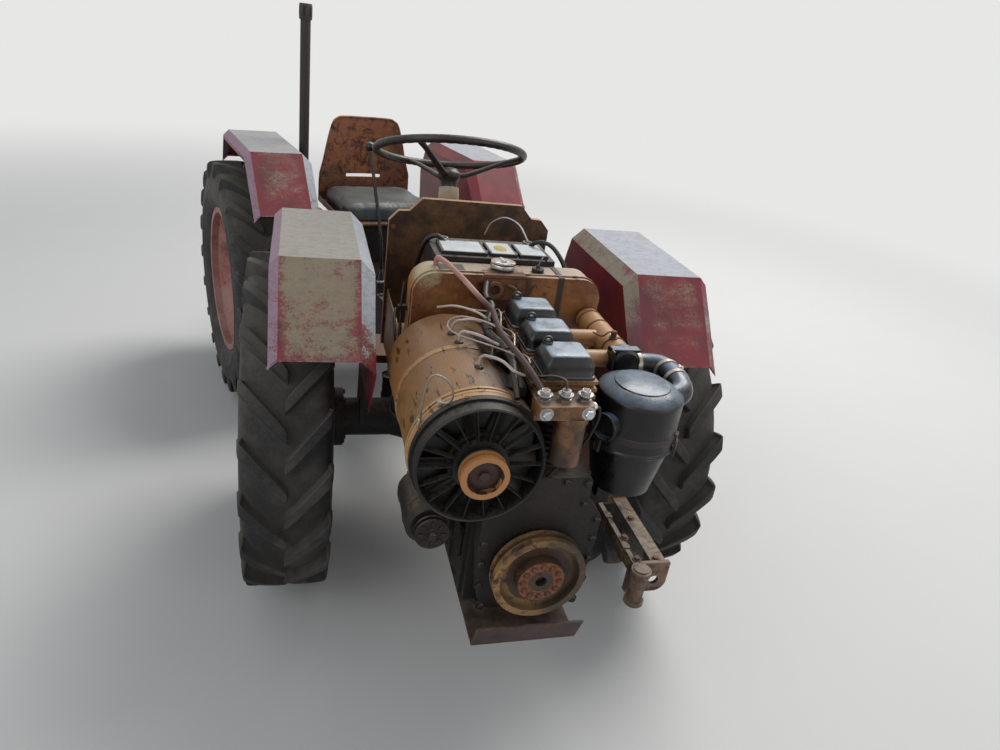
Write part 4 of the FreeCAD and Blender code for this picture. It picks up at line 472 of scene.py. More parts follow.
# Nodes whose paint is not simply their slot's
NODE_PAINTS = {"air_duct": "duct", "dash_panel": "dash", "fuel_tank": "tank", "cylinders": "heads", "front_carrier": "carrier",
               "crank_pulley": "pulley", "blower_rotor": "rotor", "blower_housing": "blower", "exhaust_stack": "stack",
               "injector_pipes": "pipe_pale"}
SLOT_OF = {part["node"]: part["material_slot"] for part in frame["record"]["subparts"]}
for name, thing in NODES.items():
    thing.data.materials.clear()
    thing.data.materials.append(PAINTS[NODE_PAINTS[name]] if name in NODE_PAINTS else SURFACES[SLOT_OF[name]])
NODES["dynamo"].data.materials[0] = SURFACES["dark_iron"]


# Building shapes


def piece(name, bm, place, body, slot, paint=None, angle=35.0, bevel=0.0, replaces=()):
    """Turn a drawn mesh into a piece that rides on a body, with smooth faces up to an angle."""
    bm.transform(place)
    mesh = bpy.data.meshes.new(name)
    bm.to_mesh(mesh)
    bm.free()
    mesh.shade_smooth()
    mesh.set_sharp_from_angle(angle=math.radians(angle))
    made = bpy.data.objects.new(name, mesh)
    bpy.context.scene.collection.objects.link(made)
    mesh.materials.append(PAINTS[paint] if paint else SURFACES[slot])
    if bevel:
        rounding = made.modifiers.new("edges", "BEVEL")
        rounding.width = bevel
        rounding.segments = 2
        rounding.limit_method = "ANGLE"
        rounding.angle_limit = math.radians(30)
    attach(made, body)
    if replaces:
        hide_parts(*replaces)
    return made


def aim(start, direction):
    """A placement at start whose own Z points along direction."""
    return Matrix.Translation(start) @ Vector(direction).to_track_quat("Z", "Y").to_matrix().to_4x4()


def lathe(bm, profile, place=Matrix(), steps=48, closed=False):
    """Turn points (radius, height) round a placement's own Z; a zero radius closes the end."""
    rings = []
    for radius, height in profile:
        if radius < 1e-6:
            rings.append([bm.verts.new(place @ Vector((0, 0, height)))])
            continue
        ring = []
        for i in range(steps):
            angle = 2 * math.pi * i / steps
            ring.append(bm.verts.new(place @ Vector((radius * math.cos(angle), radius * math.sin(angle), height))))
        rings.append(ring)
    pairs = list(zip(rings, rings[1:]))
    if closed:
        pairs.append((rings[-1], rings[0]))
    for low, high in pairs:
        for i in range(steps):
            k = (i + 1) % steps
            if len(low) == 1 and len(high) == 1:
                continue
            if len(low) == 1:
                bm.faces.new((low[0], high[k], high[i]))
            elif len(high) == 1:
                bm.faces.new((low[i], low[k], high[0]))
            else:
                bm.faces.new((low[i], low[k], high[k], high[i]))


def box(bm, low, high, place=Matrix()):
    """A box between two corners."""
    made = bmesh.ops.create_cube(bm, size=1.0)
    middle = (Vector(low) + Vector(high)) / 2
    size = Vector(high) - Vector(low)
    for vertex in made["verts"]:
        vertex.co = place @ (middle + Vector(a * b for a, b in zip(vertex.co, size)))


def curve_points(points, density=6):
    """Points along a smooth curve through a route."""
    points = [Vector(p) for p in points]
    if len(points) == 2:
        return points
    ends = [2 * points[0] - points[1]] + points + [2 * points[-1] - points[-2]]
    out = []
    for a, b, c, d in zip(ends, ends[1:], ends[2:], ends[3:]):
        for i in range(density):
            t = i / density
            out.append(0.5 * (2 * b + (c - a) * t + (2 * a - 5 * b + 4 * c - d) * t * t
                              + (3 * b - a - 3 * c + d) * t ** 3))
    out.append(points[-1])
    return out


def sweep(bm, points, radius, sides=10, density=6):
    """A round tube along a smooth curve through the points; radius may be a list along the route."""
    path = curve_points(points, density)
    total = len(path)
    side = None
    rings = []
    for i, point in enumerate(path):
        ahead = (path[min(i + 1, total - 1)] - path[max(i - 1, 0)]).normalized()
        if side is None:
            side = ahead.orthogonal().normalized()
        side = (side - ahead * side.dot(ahead)).normalized()
        other = ahead.cross(side)
        if isinstance(radius, (list, tuple)):
            spot = i / (total - 1) * (len(radius) - 1)
            low = min(int(spot), len(radius) - 2)
            wide = radius[low] + (radius[low + 1] - radius[low]) * (spot - low)
        else:
            wide = radius
        rings.append([bm.verts.new(point + wide * (side * math.cos(2 * math.pi * k / sides)
                                                   + other * math.sin(2 * math.pi * k / sides)))
                      for k in range(sides)])
    for low, high in zip(rings, rings[1:]):
        for k in range(sides):
            bm.faces.new((low[k], low[(k + 1) % sides], high[(k + 1) % sides], high[k]))
    bm.faces.new(rings[0][::-1])
    bm.faces.new(rings[-1])


def hexagon(bm, place, radius, height, washer=True):
    """A bolt head on its washer, standing on a placement's own Z."""
    if washer:
        lathe(bm, [(radius * 1.45, -0.001), (radius * 1.45, 0.0012), (radius * 0.5, 0.0012)], place, 12)
    sides = 6
    rings = []
    for wide, high in ((radius, 0.0), (radius, height * 0.82), (radius * 0.84, height)):
        rings.append([bm.verts.new(place @ Vector((wide * math.cos(math.pi * k / 3), wide * math.sin(math.pi * k / 3), high)))
                      for k in range(sides)])
    for low, high in zip(rings, rings[1:]):
        for k in range(sides):
            bm.faces.new((low[k], low[(k + 1) % sides], high[(k + 1) % sides], high[k]))
    bm.faces.new(rings[-1])


def bolts(name, spots, radius, height, place, body, slot, paint=None):
    """Bolt heads joined in one piece; each spot is a point and the way its bolt stands."""
    bm = bmesh.new()
    for i, (spot, way) in enumerate(spots):
        turned = Matrix.Rotation(i * 0.7, 4, "Z")
        hexagon(bm, aim(spot, way) @ turned, radius, height)
    return piece(name, bm, place, body, slot, paint, 25)


def rounded(half_x, half_y, corner, steps=5):
    """Corners of a rectangle with round corners, about the middle."""
    out = []
    for quarter, (sx, sy) in enumerate(((1, 1), (-1, 1), (-1, -1), (1, -1))):
        for i in range(steps + 1):
            angle = math.pi / 2 * (quarter + i / steps)
            out.append((sx * (half_x - corner) + corner * math.cos(angle), sy * (half_y - corner) + corner * math.sin(angle)))
    return out


def stack_loops(bm, loops, close_low=True, close_high=True):
    """Faces between loops of as many points, and over the ends."""
    rings = [[bm.verts.new(point) for point in loop] for loop in loops]
    for low, high in zip(rings, rings[1:]):
        total = len(low)
        for k in range(total):
            bm.faces.new((low[k], low[(k + 1) % total], high[(k + 1) % total], high[k]))
    if close_low:
        bm.faces.new(rings[0][::-1])
    if close_high:
        bm.faces.new(rings[-1])
    return rings


# Tyres


TYRE_RADIUS = 0.5245
LUG_LEAN = 15.0
LUGS = 20


def wheel_place(half, sign):
    base = FRONT if half == "front" else REAR @ Matrix.Translation((0, REAR_AXLE, 0))
    return base @ Matrix.Translation((sign * 0.575, 0, 0))


def tyre(half, hand, sign):
    """A ribbed farm tyre: bulging walls with rings, and slanted lugs that run down over the shoulders."""
    side = [(0.3056, 0.086), (0.318, 0.0935), (0.327, 0.0965), (0.330, 0.1005), (0.336, 0.1045), (0.350, 0.112),
            (0.370, 0.1185), (0.392, 0.1225), (0.396, 0.1245), (0.402, 0.1245), (0.406, 0.1230), (0.430, 0.1220),
            (0.452, 0.1185), (0.470, 0.1120), (0.483, 0.1010), (0.489, 0.0850), (0.4935, 0.055), (0.4955, 0.020)]
    profile = [(r, -x) for r, x in side] + [(r, x) for r, x in side[::-1]]
    bm = bmesh.new()
    lathe(bm, profile, Matrix.Rotation(math.pi / 2, 4, "Y"), 100, closed=True)
    bmesh.ops.recalc_face_normals(bm, faces=bm.faces)
    lead = math.radians(LUG_LEAN / 2)
    # distance from the middle, radius of the top, radius of the root, half width of the top, of the root
    run = [(-0.004, 0.5225, 0.485, 0.014, 0.021), (0.006, 0.5240, 0.484, 0.019, 0.026), (0.030, 0.5245, 0.483, 0.020, 0.029),
           (0.060, 0.5240, 0.481, 0.020, 0.030), (0.090, 0.5225, 0.476, 0.021, 0.031), (0.108, 0.5205, 0.465, 0.0215, 0.031),
           (0.1165, 0.5165, 0.455, 0.0215, 0.031), (0.1195, 0.5020, 0.447, 0.0205, 0.030), (0.1225, 0.4800, 0.440, 0.018, 0.026),
           (0.1240, 0.4600, 0.434, 0.014, 0.020)]
    for way in (1, -1):
        for k in range(LUGS):
            start = 6 + 360 / LUGS * (k + (0.5 if way < 0 else 0))
            middle = math.radians(start + LUG_LEAN / 2)
            loops = []
            for x, top, root, wide, foot in run:
                share = 1 - 2 * min(1.06, (x + 0.004) / 0.1215)
                centre = middle + lead * share
                jitter = 0.0012 * noise.noise(Vector((x * 40, k * 3.1, way * 7.7)))
                inset = 0.012 if x > 0.11 else 0.0
                loop = []
                for r, w, edge in ((root, foot, -1), (top + jitter, wide, -1), (top + jitter, wide, 1), (root, foot, 1)):
                    angle = centre + edge * w / TYRE_RADIUS
                    out = x - inset if r == root else x
                    loop.append(Vector((-way * out, r * math.cos(angle), r * math.sin(angle))))
                loops.append(loop)
            rings = stack_loops(bm, loops)
    lug_faces = [f for f in bm.faces if all(v.co.yz.length > 0.43 for v in f.verts)]
    bmesh.ops.recalc_face_normals(bm, faces=lug_faces)
    turn = Matrix.Rotation((1 - sign) * math.pi / 2 / LUGS, 4, "X")
    name = f"{half}_{hand}_tyre"
    made = piece(name + "_lugged", bm, wheel_place(half, sign) @ turn, f"{half}_{hand}_wheel", "tyre", None, 32,
                 replaces=(name,))
    rounding = made.modifiers.new("edges", "BEVEL")
    rounding.width = 0.003
    rounding.segments = 2
    rounding.limit_method = "ANGLE"
    rounding.angle_limit = math.radians(50)
    nuts = []
    for i in range(6):
        angle = math.pi / 3 * i
        out = sign * 0.0485
        nuts.append(((out, 0.048 * math.cos(angle), 0.048 * math.sin(angle)), (sign, 0, 0)))
    bolts(f"{half}_{hand}_wheel_nuts", nuts, 0.011, 0.012, wheel_place(half, sign), f"{half}_{hand}_wheel", "rim_red")


# Wings


WING = {"top": 0.632, "inner": 0.354, "outer": 0.622, "bevel_in": 0.038, "bevel_out": 0.024, "front": 0.275, "back": 0.187,
        "nose": 0.450, "nose_drop": 0.213, "tail": 0.235, "tail_drop": 0.122, "low": 0.205, "lip": 0.016}
# how far the paint is gone and how cold the undercoat is, on each panel of each wing; cold 1 shows the pale undercoat
# with a painted sky reflection
WING_WEAR = {
    ("front", "right"): {"top": (0.90, 0.4), "nose": (0.67, 0.0), "inner": (1.0, 1.0), "outer": (0.62, 2.0), "side": (0.10, 0.3),
                         "tail": (0.4, 0.3), "lip": (0.1, 0.2)},
    ("front", "left"): {"top": (1.05, 1.0), "nose": (0.30, 0.0), "inner": (0.56, 0.2), "outer": (0.4, 0.4), "side": (0.0, 0.5),
                        "tail": (0.3, 0.3), "lip": (0.1, 0.2)},
    ("rear", "right"): {"top": (0.80, 0.6), "nose": (0.34, 0.0), "inner": (1.0, 1.0), "outer": (0.66, 2.0), "side": (0.10, 0.3),
                        "tail": (0.3, 0.3), "lip": (0.1, 0.2)},
    ("rear", "left"): {"top": (0.80, 0.8), "nose": (0.06, 0.3), "inner": (0.12, 1.0), "outer": (0.4, 0.5), "side": (0.0, 0.3),
                       "tail": (0.3, 0.3), "lip": (0.1, 0.2)},
}


def wing(half, hand, sign):
    """A folded sheet wing with a few shallow dents and paint worn away panel by panel."""
    w = WING
    rows = [(-w["nose"] + w["lip"], w["nose_drop"] + 0.004, -0.318), (-w["nose"], w["nose_drop"], -0.330),
            (-w["front"], 0.0, -0.275), (w["back"], 0.0, w["back"]), (w["tail"], w["tail_drop"], 0.205),
            (w["tail"] - w["lip"], w["tail_drop"] + 0.004, 0.195)]
    row_names = ("lip", "nose", "top", "tail", "lip")
    row_cells = (1, 10, 18, 6, 1)
    columns = [(w["inner"], None), (w["inner"], w["bevel_in"]), (w["inner"] + w["bevel_in"], 0.0),
               (w["outer"] - w["bevel_out"], 0.0), (w["outer"], w["bevel_out"]), (w["outer"], w["bevel_out"] + w["lip"])]
    column_names = ("side", "inner", None, "outer", "lip")
    column_cells = (12, 3, 10, 2, 1)
    shift = REAR_AXLE if half == "rear" else 0.0

    def corner(j, i):
        y, drop, low_y = rows[j]
        x, fall = columns[i]
        if i == len(columns) - 1 and j in (0, 1, 4, 5):
            fall = w["bevel_out"] + 0.002
        if fall is None:
            return Vector((sign * x, low_y, w["low"]))
        return Vector((sign * x, y, w["top"] - drop - fall))

    bm = bmesh.new()
    wear = bm.loops.layers.float.new("wear")
    cold = bm.loops.layers.float.new("cold")
    worn = WING_WEAR[(half, hand)]
    for j, row in enumerate(row_names):
        for i, column in enumerate(column_names):
            if row == "lip" and column in ("side", "lip"):
                continue
            kind = "lip" if row == "lip" else (column or row)
            amount, chill = worn[kind]
            a, b, c, d = corner(j, i), corner(j, i + 1), corner(j + 1, i + 1), corner(j + 1, i)
            across, up = column_cells[i], row_cells[j]
            wide, long = (b - a).length, (d - a).length
            grid = []
            for v in range(up + 1):
                line = []
                for u in range(across + 1):
                    s, t = u / across, v / up
                    line.append(bm.verts.new((a * (1 - s) + b * s) * (1 - t) + (d * (1 - s) + c * s) * t))
                grid.append(line)
            for v in range(up):
                for u in range(across):
                    face = bm.faces.new((grid[v][u], grid[v][u + 1], grid[v + 1][u + 1], grid[v + 1][u]))
                    for loop, (du, dv) in zip(face.loops, ((0, 0), (1, 0), (1, 1), (0, 1))):
                        s, t = (u + du) / across, (v + dv) / up
                        border = min(s, 1 - s) * wide
                        level = amount
                        if kind == "nose":
                            border = min(border, t * long + 0.01)
                            level = amount - 0.30 * max(0.0, 1 - border / 0.028) - 0.12 * (1 - t)
                        elif kind == "inner" and row == "nose":
                            level = amount - 0.75 * max(0.0, 1 - 1.3 * t)
                        elif kind == "top":
                            level = amount - 0.12 * max(0.0, 1 - border / 0.02)
                        loop[wear] = level
                        loop[cold] = chill
    bmesh.ops.remove_doubles(bm, verts=bm.verts, dist=0.0004)
    bmesh.ops.recalc_face_normals(bm, faces=bm.faces)
    crown = max(bm.faces, key=lambda f: f.calc_center_median().z)
    if crown.normal.z < 0:
        bmesh.ops.reverse_faces(bm, faces=bm.faces)
    bm.normal_update()
    seed = 10 * sign + (40 if half == "rear" else 0)
    for vertex in bm.verts:
        spot = vertex.co
        wave = noise.noise(spot * 6 + Vector((seed, 0, 0))) * 0.0016 + noise.noise(spot * 17 + Vector((0, seed, 0))) * 0.0005
        vertex.co = spot + vertex.normal * (wave - 0.0012)
    place = (REAR if half == "rear" else FRONT) @ Matrix.Translation((0, shift, 0))
    name = f"{half}_{hand}_wing"
    made = piece(name, bm, place, f"{half}_half", "wing_red", None, 24, replaces=(f"{half}_wings",))
    fold = made.modifiers.new("folds", "BEVEL")
    fold.width = 0.003
    fold.segments = 2
    fold.limit_method = "ANGLE"
    fold.angle_limit = math.radians(18)
    sheet = made.modifiers.new("sheet", "SOLIDIFY")
    sheet.thickness = 0.003
    sheet.offset = -1
    stay = []
    for y in (-0.035, 0.035):
        for z in (0.225, 0.27):
            stay.append(((sign * (w["inner"] + 0.003), shift + y, z), (sign, 0, 0)))
    bolts(name + "_bolts", stay, 0.009, 0.007, REAR if half == "rear" else FRONT, f"{half}_half", "rusty_steel")


for half in ("front", "rear"):
    for hand, sign in (("right", -1), ("left", 1)):
        tyre(half, hand, sign)
        wing(half, hand, sign)


# Engine


CYLINDER_X = 0.016
CYLINDER_Y = [-0.758 + 0.1335 * i for i in range(3)]
HEAD_TOP = 0.565
BLOWER = (-0.172, 0.385)


def valve_covers():
    """Pressed covers with soft shoulders, a rolled flange, a filler boss with its nut and a lifting eye."""
    for i, y in enumerate(CYLINDER_Y):
        bm = bmesh.new()
        # height above the head, half width, half depth, corner
        levels = [(0.0, 0.0620, 0.0540, 0.014), (0.0035, 0.0622, 0.0542, 0.014), (0.0055, 0.0605, 0.0525, 0.013),
                  (0.0070, 0.0580, 0.0500, 0.013), (0.0250, 0.0570, 0.0490, 0.013), (0.0310, 0.0560, 0.0480, 0.013),
                  (0.0360, 0.0530, 0.0455, 0.013), (0.0460, 0.0475, 0.0415, 0.012), (0.0495, 0.0440, 0.0385, 0.011),
                  (0.0508, 0.0380, 0.0330, 0.010), (0.0511, 0.0200, 0.0180, 0.006)]
        loops = [[Vector((CYLINDER_X + u, y + v, HEAD_TOP + high)) for u, v in rounded(wide, deep, corner)]
                 for high, wide, deep, corner in levels]
        stack_loops(bm, loops)
        piece(f"valve_cover_{i + 1}", bm, FRONT, "front_half", "black_gloss", "covers", 60,
              replaces=("valve_covers",))
        bm = bmesh.new()
        boss = aim((CYLINDER_X - 0.036, y + 0.026, HEAD_TOP + 0.030), (0, 0, 1))
        lathe(bm, [(0.0, 0.0), (0.011, 0.0), (0.011, 0.018), (0.0085, 0.020), (0.0085, 0.025), (0.0, 0.025)], boss, 20)
        hexagon(bm, boss @ Matrix.Translation((0, 0, 0.024)), 0.0085, 0.006)
        eye = [Vector((CYLINDER_X - 0.036 + 0.010 * math.cos(a), y + 0.026, HEAD_TOP + 0.056 + 0.010 * math.sin(a)))
               for a in [math.radians(v) for v in range(-60, 241, 30)]]
        sweep(bm, eye, 0.0032, 8, 2)
        piece(f"cover_boss_{i + 1}", bm, FRONT, "front_half", "black_gloss", None, 35)


def injectors():
    """Injectors on the duct's side of the heads, their pipe unions and the thin return pipe that joins them."""
    bm = bmesh.new()
    for y in CYLINDER_Y:
        foot = aim((-0.050, y, 0.532), (-0.35, 0, 1))
        lathe(bm, [(0.0, 0.0), (0.012, 0.0), (0.012, 0.030), (0.0085, 0.034), (0.0085, 0.052), (0.0, 0.052)], foot, 16)
        hexagon(bm, foot @ Matrix.Translation((0, 0, 0.030)), 0.0125, 0.010, False)
        hexagon(bm, aim((-0.064, y, 0.549), (1, 0, 0)), 0.0075, 0.013, False)
        box(bm, (-0.062, y - 0.028, 0.536), (-0.048, y + 0.028, 0.544))
    piece("injectors", bm, FRONT, "front_half", "rusty_steel", None, 35)
    bm = bmesh.new()
    for x, y in ((-0.156, -0.690), (-0.178, -0.560), (-0.186, -0.508)):
        high = BLOWER[1] + math.sqrt(0.150 ** 2 - (x - BLOWER[0]) ** 2)
        way = (x - BLOWER[0], 0, high - BLOWER[1])
        lathe(bm, [(0.0035, 0.004), (0.008, 0.003), (0.0105, 0.0), (0.0105, -0.004)], aim((x, y, high), way), 20)
    piece("pipe_grommets", bm, FRONT, "front_half", "black_plastic", "loom", 50)
    bm = bmesh.new()
    sweep(bm, [(-0.062, -0.6245, 0.572), (-0.110, -0.580, 0.592), (-0.160, -0.520, 0.584), (-0.186, -0.492, 0.566), (-0.198, -0.508, 0.553),
               (-0.186, -0.548, 0.552), (-0.150, -0.605, 0.560), (-0.105, -0.660, 0.566), (-0.070, -0.700, 0.566)], 0.0019, 8, 6)
    sweep(bm, [(-0.205, -0.395, 0.556), (-0.165, -0.430, 0.575), (-0.120, -0.475, 0.578), (-0.090, -0.500, 0.566)], 0.003, 8, 6)
    piece("leak_off_loops", bm, FRONT, "front_half", "bright_steel", "pipe_pale", 60)
    bm = bmesh.new()
    line = []
    for i, y in enumerate(CYLINDER_Y):
        line += [(-0.068, y - 0.018, 0.586), (-0.067, y, 0.588), (-0.068, y + 0.020, 0.586)]
        if i < 2:
            line.append((-0.078, y + 0.066, 0.578))
    line += [(-0.086, -0.455, 0.574), (-0.120, -0.428, 0.566), (-0.170, -0.400, 0.562)]
    sweep(bm, line, 0.0025, 8, 4)
    piece("return_pipe", bm, FRONT, "front_half", "bright_steel", None, 60)


def engine_bolts():
    """Bolts round the timing cover, the case doors, the pulley and the flanges."""
    spots = []
    outline = [(-0.118, -0.030), (-0.060, -0.032), (0.0, -0.032), (0.060, -0.032), (0.118, -0.030), (0.131, 0.035),
               (0.134, 0.100), (0.134, 0.160), (0.134, 0.215), (0.094, 0.262), (0.092, 0.320), (0.040, 0.326),
               (-0.131, 0.035), (-0.134, 0.100), (-0.134, 0.160)]
    for x, z in outline:
        spots.append(((x, -0.850, z), (0, -1, 0)))
    bolts("timing_cover_bolts", spots, 0.0085, 0.008, FRONT, "front_half", "dark_iron")
    spots = []
    for sign in (-1, 1):
        for i in range(3):
            y = -0.744 + 0.1335 * i
            for dy in (0.010, 0.0675):
                for z in (0.037, 0.107):
                    spots.append(((sign * 0.158, y + dy, z), (sign, 0, 0)))
    bolts("case_door_bolts", spots, 0.006, 0.005, FRONT, "front_half", "dark_iron")
    spots = []
    for i in range(12):
        angle = math.pi / 6 * i
        spots.append(((0.044 * math.cos(angle), -0.908, 0.087 + 0.044 * math.sin(angle)), (0, -1, 0)))
    bolts("pulley_bolts", spots, 0.0062, 0.006, FRONT, "crank", "rusty_steel")
    bm = bmesh.new()
    hexagon(bm, aim((0, -0.888, 0.087), (0, -1, 0)), 0.0105, 0.008, False)
    lathe(bm, [(0.0135, -0.001), (0.0135, 0.002), (0.0, 0.002)], aim((0, -0.888, 0.087), (0, -1, 0)), 20)
    piece("pulley_middle_bolt", bm, FRONT, "crank", "dark_iron", None, 25)
    bm = bmesh.new()
    hub = aim((BLOWER[0], -0.8958, BLOWER[1]), (0, -1, 0))
    lathe(bm, [(0.034, -0.001), (0.034, 0.003), (0.026, 0.005), (0.0, 0.005)], hub, 28)
    hexagon(bm, hub @ Matrix.Translation((0, 0, 0.004)), 0.013, 0.009)
    piece("blower_nut", bm, FRONT, "blower_wheel", "rusty_steel", "rotor", 30)
    spots = []
    for i in range(10):
        angle = math.radians(20 + 36 * i)
        x, z = 0.184 * math.cos(angle), 0.087 + 0.184 * math.sin(angle)
        if z < 0.235:
            spots.append(((x, -0.352, z), (0, -1, 0)))
    bolts("bell_bolts", spots, 0.009, 0.008, FRONT, "front_half", "dark_iron")


def blower_trim():
    """The housing's front lip, its clamp bands and their screws."""
    bm = bmesh.new()
    mouth = aim((BLOWER[0], -0.8705, BLOWER[1]), (0, -1, 0))
    lathe(bm, [(0.1385, -0.010), (0.1390, 0.0005), (0.1410, 0.0020), (0.1430, 0.0005), (0.1445, -0.004)], mouth, 72)
    piece("blower_lip", bm, FRONT, "front_half", "black_gloss", "blower", 50)
    for index, y in enumerate((-0.8035, -0.7885)):
        bm = bmesh.new()
        loops = []
        for i in range(61):
            angle = math.radians(38 + (326 - 38) * i / 60)
            way = Vector((math.cos(angle), 0, math.sin(angle)))
            middle = Vector((BLOWER[0], y, BLOWER[1]))
            loop = [middle + way * r + Vector((0, dy, 0)) for r, dy in
                    ((0.1478, -0.0045), (0.1512, -0.0042), (0.1526, 0.0), (0.1512, 0.0042), (0.1478, 0.0045))]
            loops.append(loop)
        stack_loops(bm, loops)
        piece(f"duct_band_{index + 1}", bm, FRONT, "front_half", "body_orange", "duct", 40)
    spots = []
    for degrees in (60, 105, 150, 195, 240, 285):
        angle = math.radians(degrees)
        way = (math.cos(angle), 0, math.sin(angle))
        spots.append(((BLOWER[0] + 0.1495 * way[0], -0.829, BLOWER[1] + 0.1495 * way[2]), way))
    bolts("housing_screws", spots, 0.006, 0.005, FRONT, "front_half", "rusty_steel")


def air_cleaner():
    """The oil-bath cleaner: bowl, clamp band, can, domed lid, hollow inlet and the elbow to the manifold."""
    x, y = 0.222, -0.752
    bm = bmesh.new()
    place = aim((x, y, 0), (0, 0, 1))
    lathe(bm, [(0.0, 0.255), (0.062, 0.255), (0.074, 0.259), (0.0955, 0.372), (0.096, 0.380), (0.103, 0.381),
               (0.105, 0.384), (0.105, 0.388), (0.103, 0.391), (0.1020, 0.392), (0.1020, 0.500), (0.1018, 0.505),
               (0.1008, 0.5092), (0.0985, 0.5125), (0.0800, 0.5225), (0.0690, 0.5272), (0.0662, 0.5280), (0.0652, 0.5308),
               (0.0632, 0.5316), (0.0, 0.5316)], place, 72)
    piece("cleaner_can", bm, FRONT, "front_half", "black_gloss", None, 28, replaces=("air_cleaner",))
    bm = bmesh.new()
    way = Vector((-0.86, -0.51, 0.0)).normalized()
    start = Vector((x, y, 0.447)) + way * 0.088
    lathe(bm, [(0.027, -0.012), (0.0315, -0.012), (0.0315, 0.030), (0.034, 0.0315), (0.034, 0.0355), (0.0315, 0.037),
               (0.029, 0.037), (0.027, 0.034)], aim(start, way), 40, closed=True)
    piece("cleaner_inlet", bm, FRONT, "front_half", "black_gloss", None, 40)
    bm = bmesh.new()
    lathe(bm, [(0.0275, 0.0), (0.0, 0.0)], aim(start + way * 0.016, way), 32)
    piece("inlet_shade", bm, FRONT, "front_half", "black_gloss", "bore")
    bm = bmesh.new()
    # painted shade: a flat black ellipse stands for the slot in the lid
    lathe(bm, [(0.0072, 0.0), (0.0, 0.0)], aim((x - 0.012, y + 0.020, 0.5314), (0, 0, 1)) @ Matrix.Diagonal((1.0, 0.45, 1, 1)), 20)
    piece("lid_slot", bm, FRONT, "front_half", "black_gloss", "bore")
    # elbow from the manifold's end round the can's left side and back into it
    bm = bmesh.new()
    sweep(bm, [(0.268, -0.596, 0.500), (0.305, -0.598, 0.501), (0.334, -0.612, 0.502), (0.345, -0.645, 0.502),
               (0.345, -0.700, 0.501), (0.336, -0.735, 0.497), (0.312, -0.751, 0.492), (0.285, -0.752, 0.488)],
          [0.029, 0.029, 0.031, 0.031, 0.031, 0.030, 0.029, 0.029], 28, 6)
    piece("cleaner_elbow", bm, FRONT, "front_half", "black_gloss", None, 60)
    bm = bmesh.new()
    for spot, way in (((0.344, -0.640, 0.502), (0.05, 1, 0)), ((0.345, -0.690, 0.501), (0.02, 1, 0)),
                      ((0.277, -0.596, 0.500), (1, 0, 0))):
        lathe(bm, [(0.0305, -0.006), (0.0335, -0.006), (0.0335, 0.006), (0.0305, 0.006)], aim(spot, way), 36, closed=True)
    hexagon(bm, aim((0.3775, -0.640, 0.514), (1, 0, 0)), 0.005, 0.010, False)
    box(bm, (0.372, -0.646, 0.508), (0.380, -0.634, 0.520))
    piece("elbow_clips", bm, FRONT, "front_half", "bright_steel", None, 30)
    bm = bmesh.new()
    lathe(bm, [(0.1012, -0.009), (0.1034, -0.008), (0.1038, 0.0), (0.1034, 0.008), (0.1012, 0.009)],
          aim((x, y, 0.421), (0, 0, 1)), 72)
    for degrees in (-38, 82, 202):
        angle = math.radians(degrees)
        out = Matrix.Translation((x, y, 0)) @ Matrix.Rotation(angle, 4, "Z")
        box(bm, (0.101, -0.011, 0.404), (0.1085, 0.011, 0.432), out)
        box(bm, (0.104, -0.008, 0.372), (0.1115, 0.008, 0.412), out)
        sweep(bm, [out @ Vector(v) for v in ((0.108, -0.007, 0.408), (0.1115, -0.007, 0.385), (0.110, 0.0, 0.374),
                                             (0.1115, 0.007, 0.385), (0.108, 0.007, 0.408))], 0.0018, 6, 3)
    piece("cleaner_latches", bm, FRONT, "front_half", "rusty_steel", "stack", 30, 0.0008)
    bm = bmesh.new()
    box(bm, (0.150, y - 0.020, 0.217), (0.162, y + 0.020, 0.256))
    box(bm, (0.150, y - 0.020, 0.225), (x, y + 0.020, 0.256))
    box(bm, (0.150, y - 0.004, 0.190), (0.205, y + 0.004, 0.230))
    piece("cleaner_bracket", bm, FRONT, "front_half", "dark_iron", None, 30, 0.002)


def manifold_trim():
    """Clips along the intake pipe, its end sleeve and a small lever."""
    bm = bmesh.new()
    lathe(bm, [(0.0, -0.024), (0.030, -0.024), (0.0385, -0.019), (0.0395, 0.0), (0.0385, 0.018), (0.0338, 0.020)],
          aim((0.235, -0.606, 0.515), (0, 1, 0)), 40)
    box(bm, (0.190, -0.626, 0.545), (0.268, -0.600, 0.553))
    box(bm, (0.190, -0.640, 0.500), (0.196, -0.600, 0.553))
    piece("manifold_sleeve", bm, FRONT, "front_half", "black_gloss", None, 40, 0.0015)
    bm = bmesh.new()
    for y in (-0.545, -0.430, -0.365):
        lathe(bm, [(0.0338, -0.003), (0.0362, -0.002), (0.0362, 0.002), (0.0338, 0.003)], aim((0.235, y, 0.515), (0, 1, 0)), 36)
    hexagon(bm, aim((0.226, -0.545, 0.550), (0, 0, 1)), 0.008, 0.018)
    sweep(bm, [(0.226, -0.545, 0.560), (0.205, -0.560, 0.572), (0.188, -0.560, 0.560), (0.180, -0.520, 0.552)], 0.0022, 8, 4)
    piece("manifold_clips", bm, FRONT, "front_half", "rusty_steel", None, 35)
    spots = []
    for y in (-0.596, -0.471):
        for dy in (-0.030, 0.030):
            spots.append(((0.090, y + dy, 0.515), (1, 0, 0)))
    bolts("port_bolts", spots, 0.007, 0.007, FRONT, "front_half", "rusty_steel")


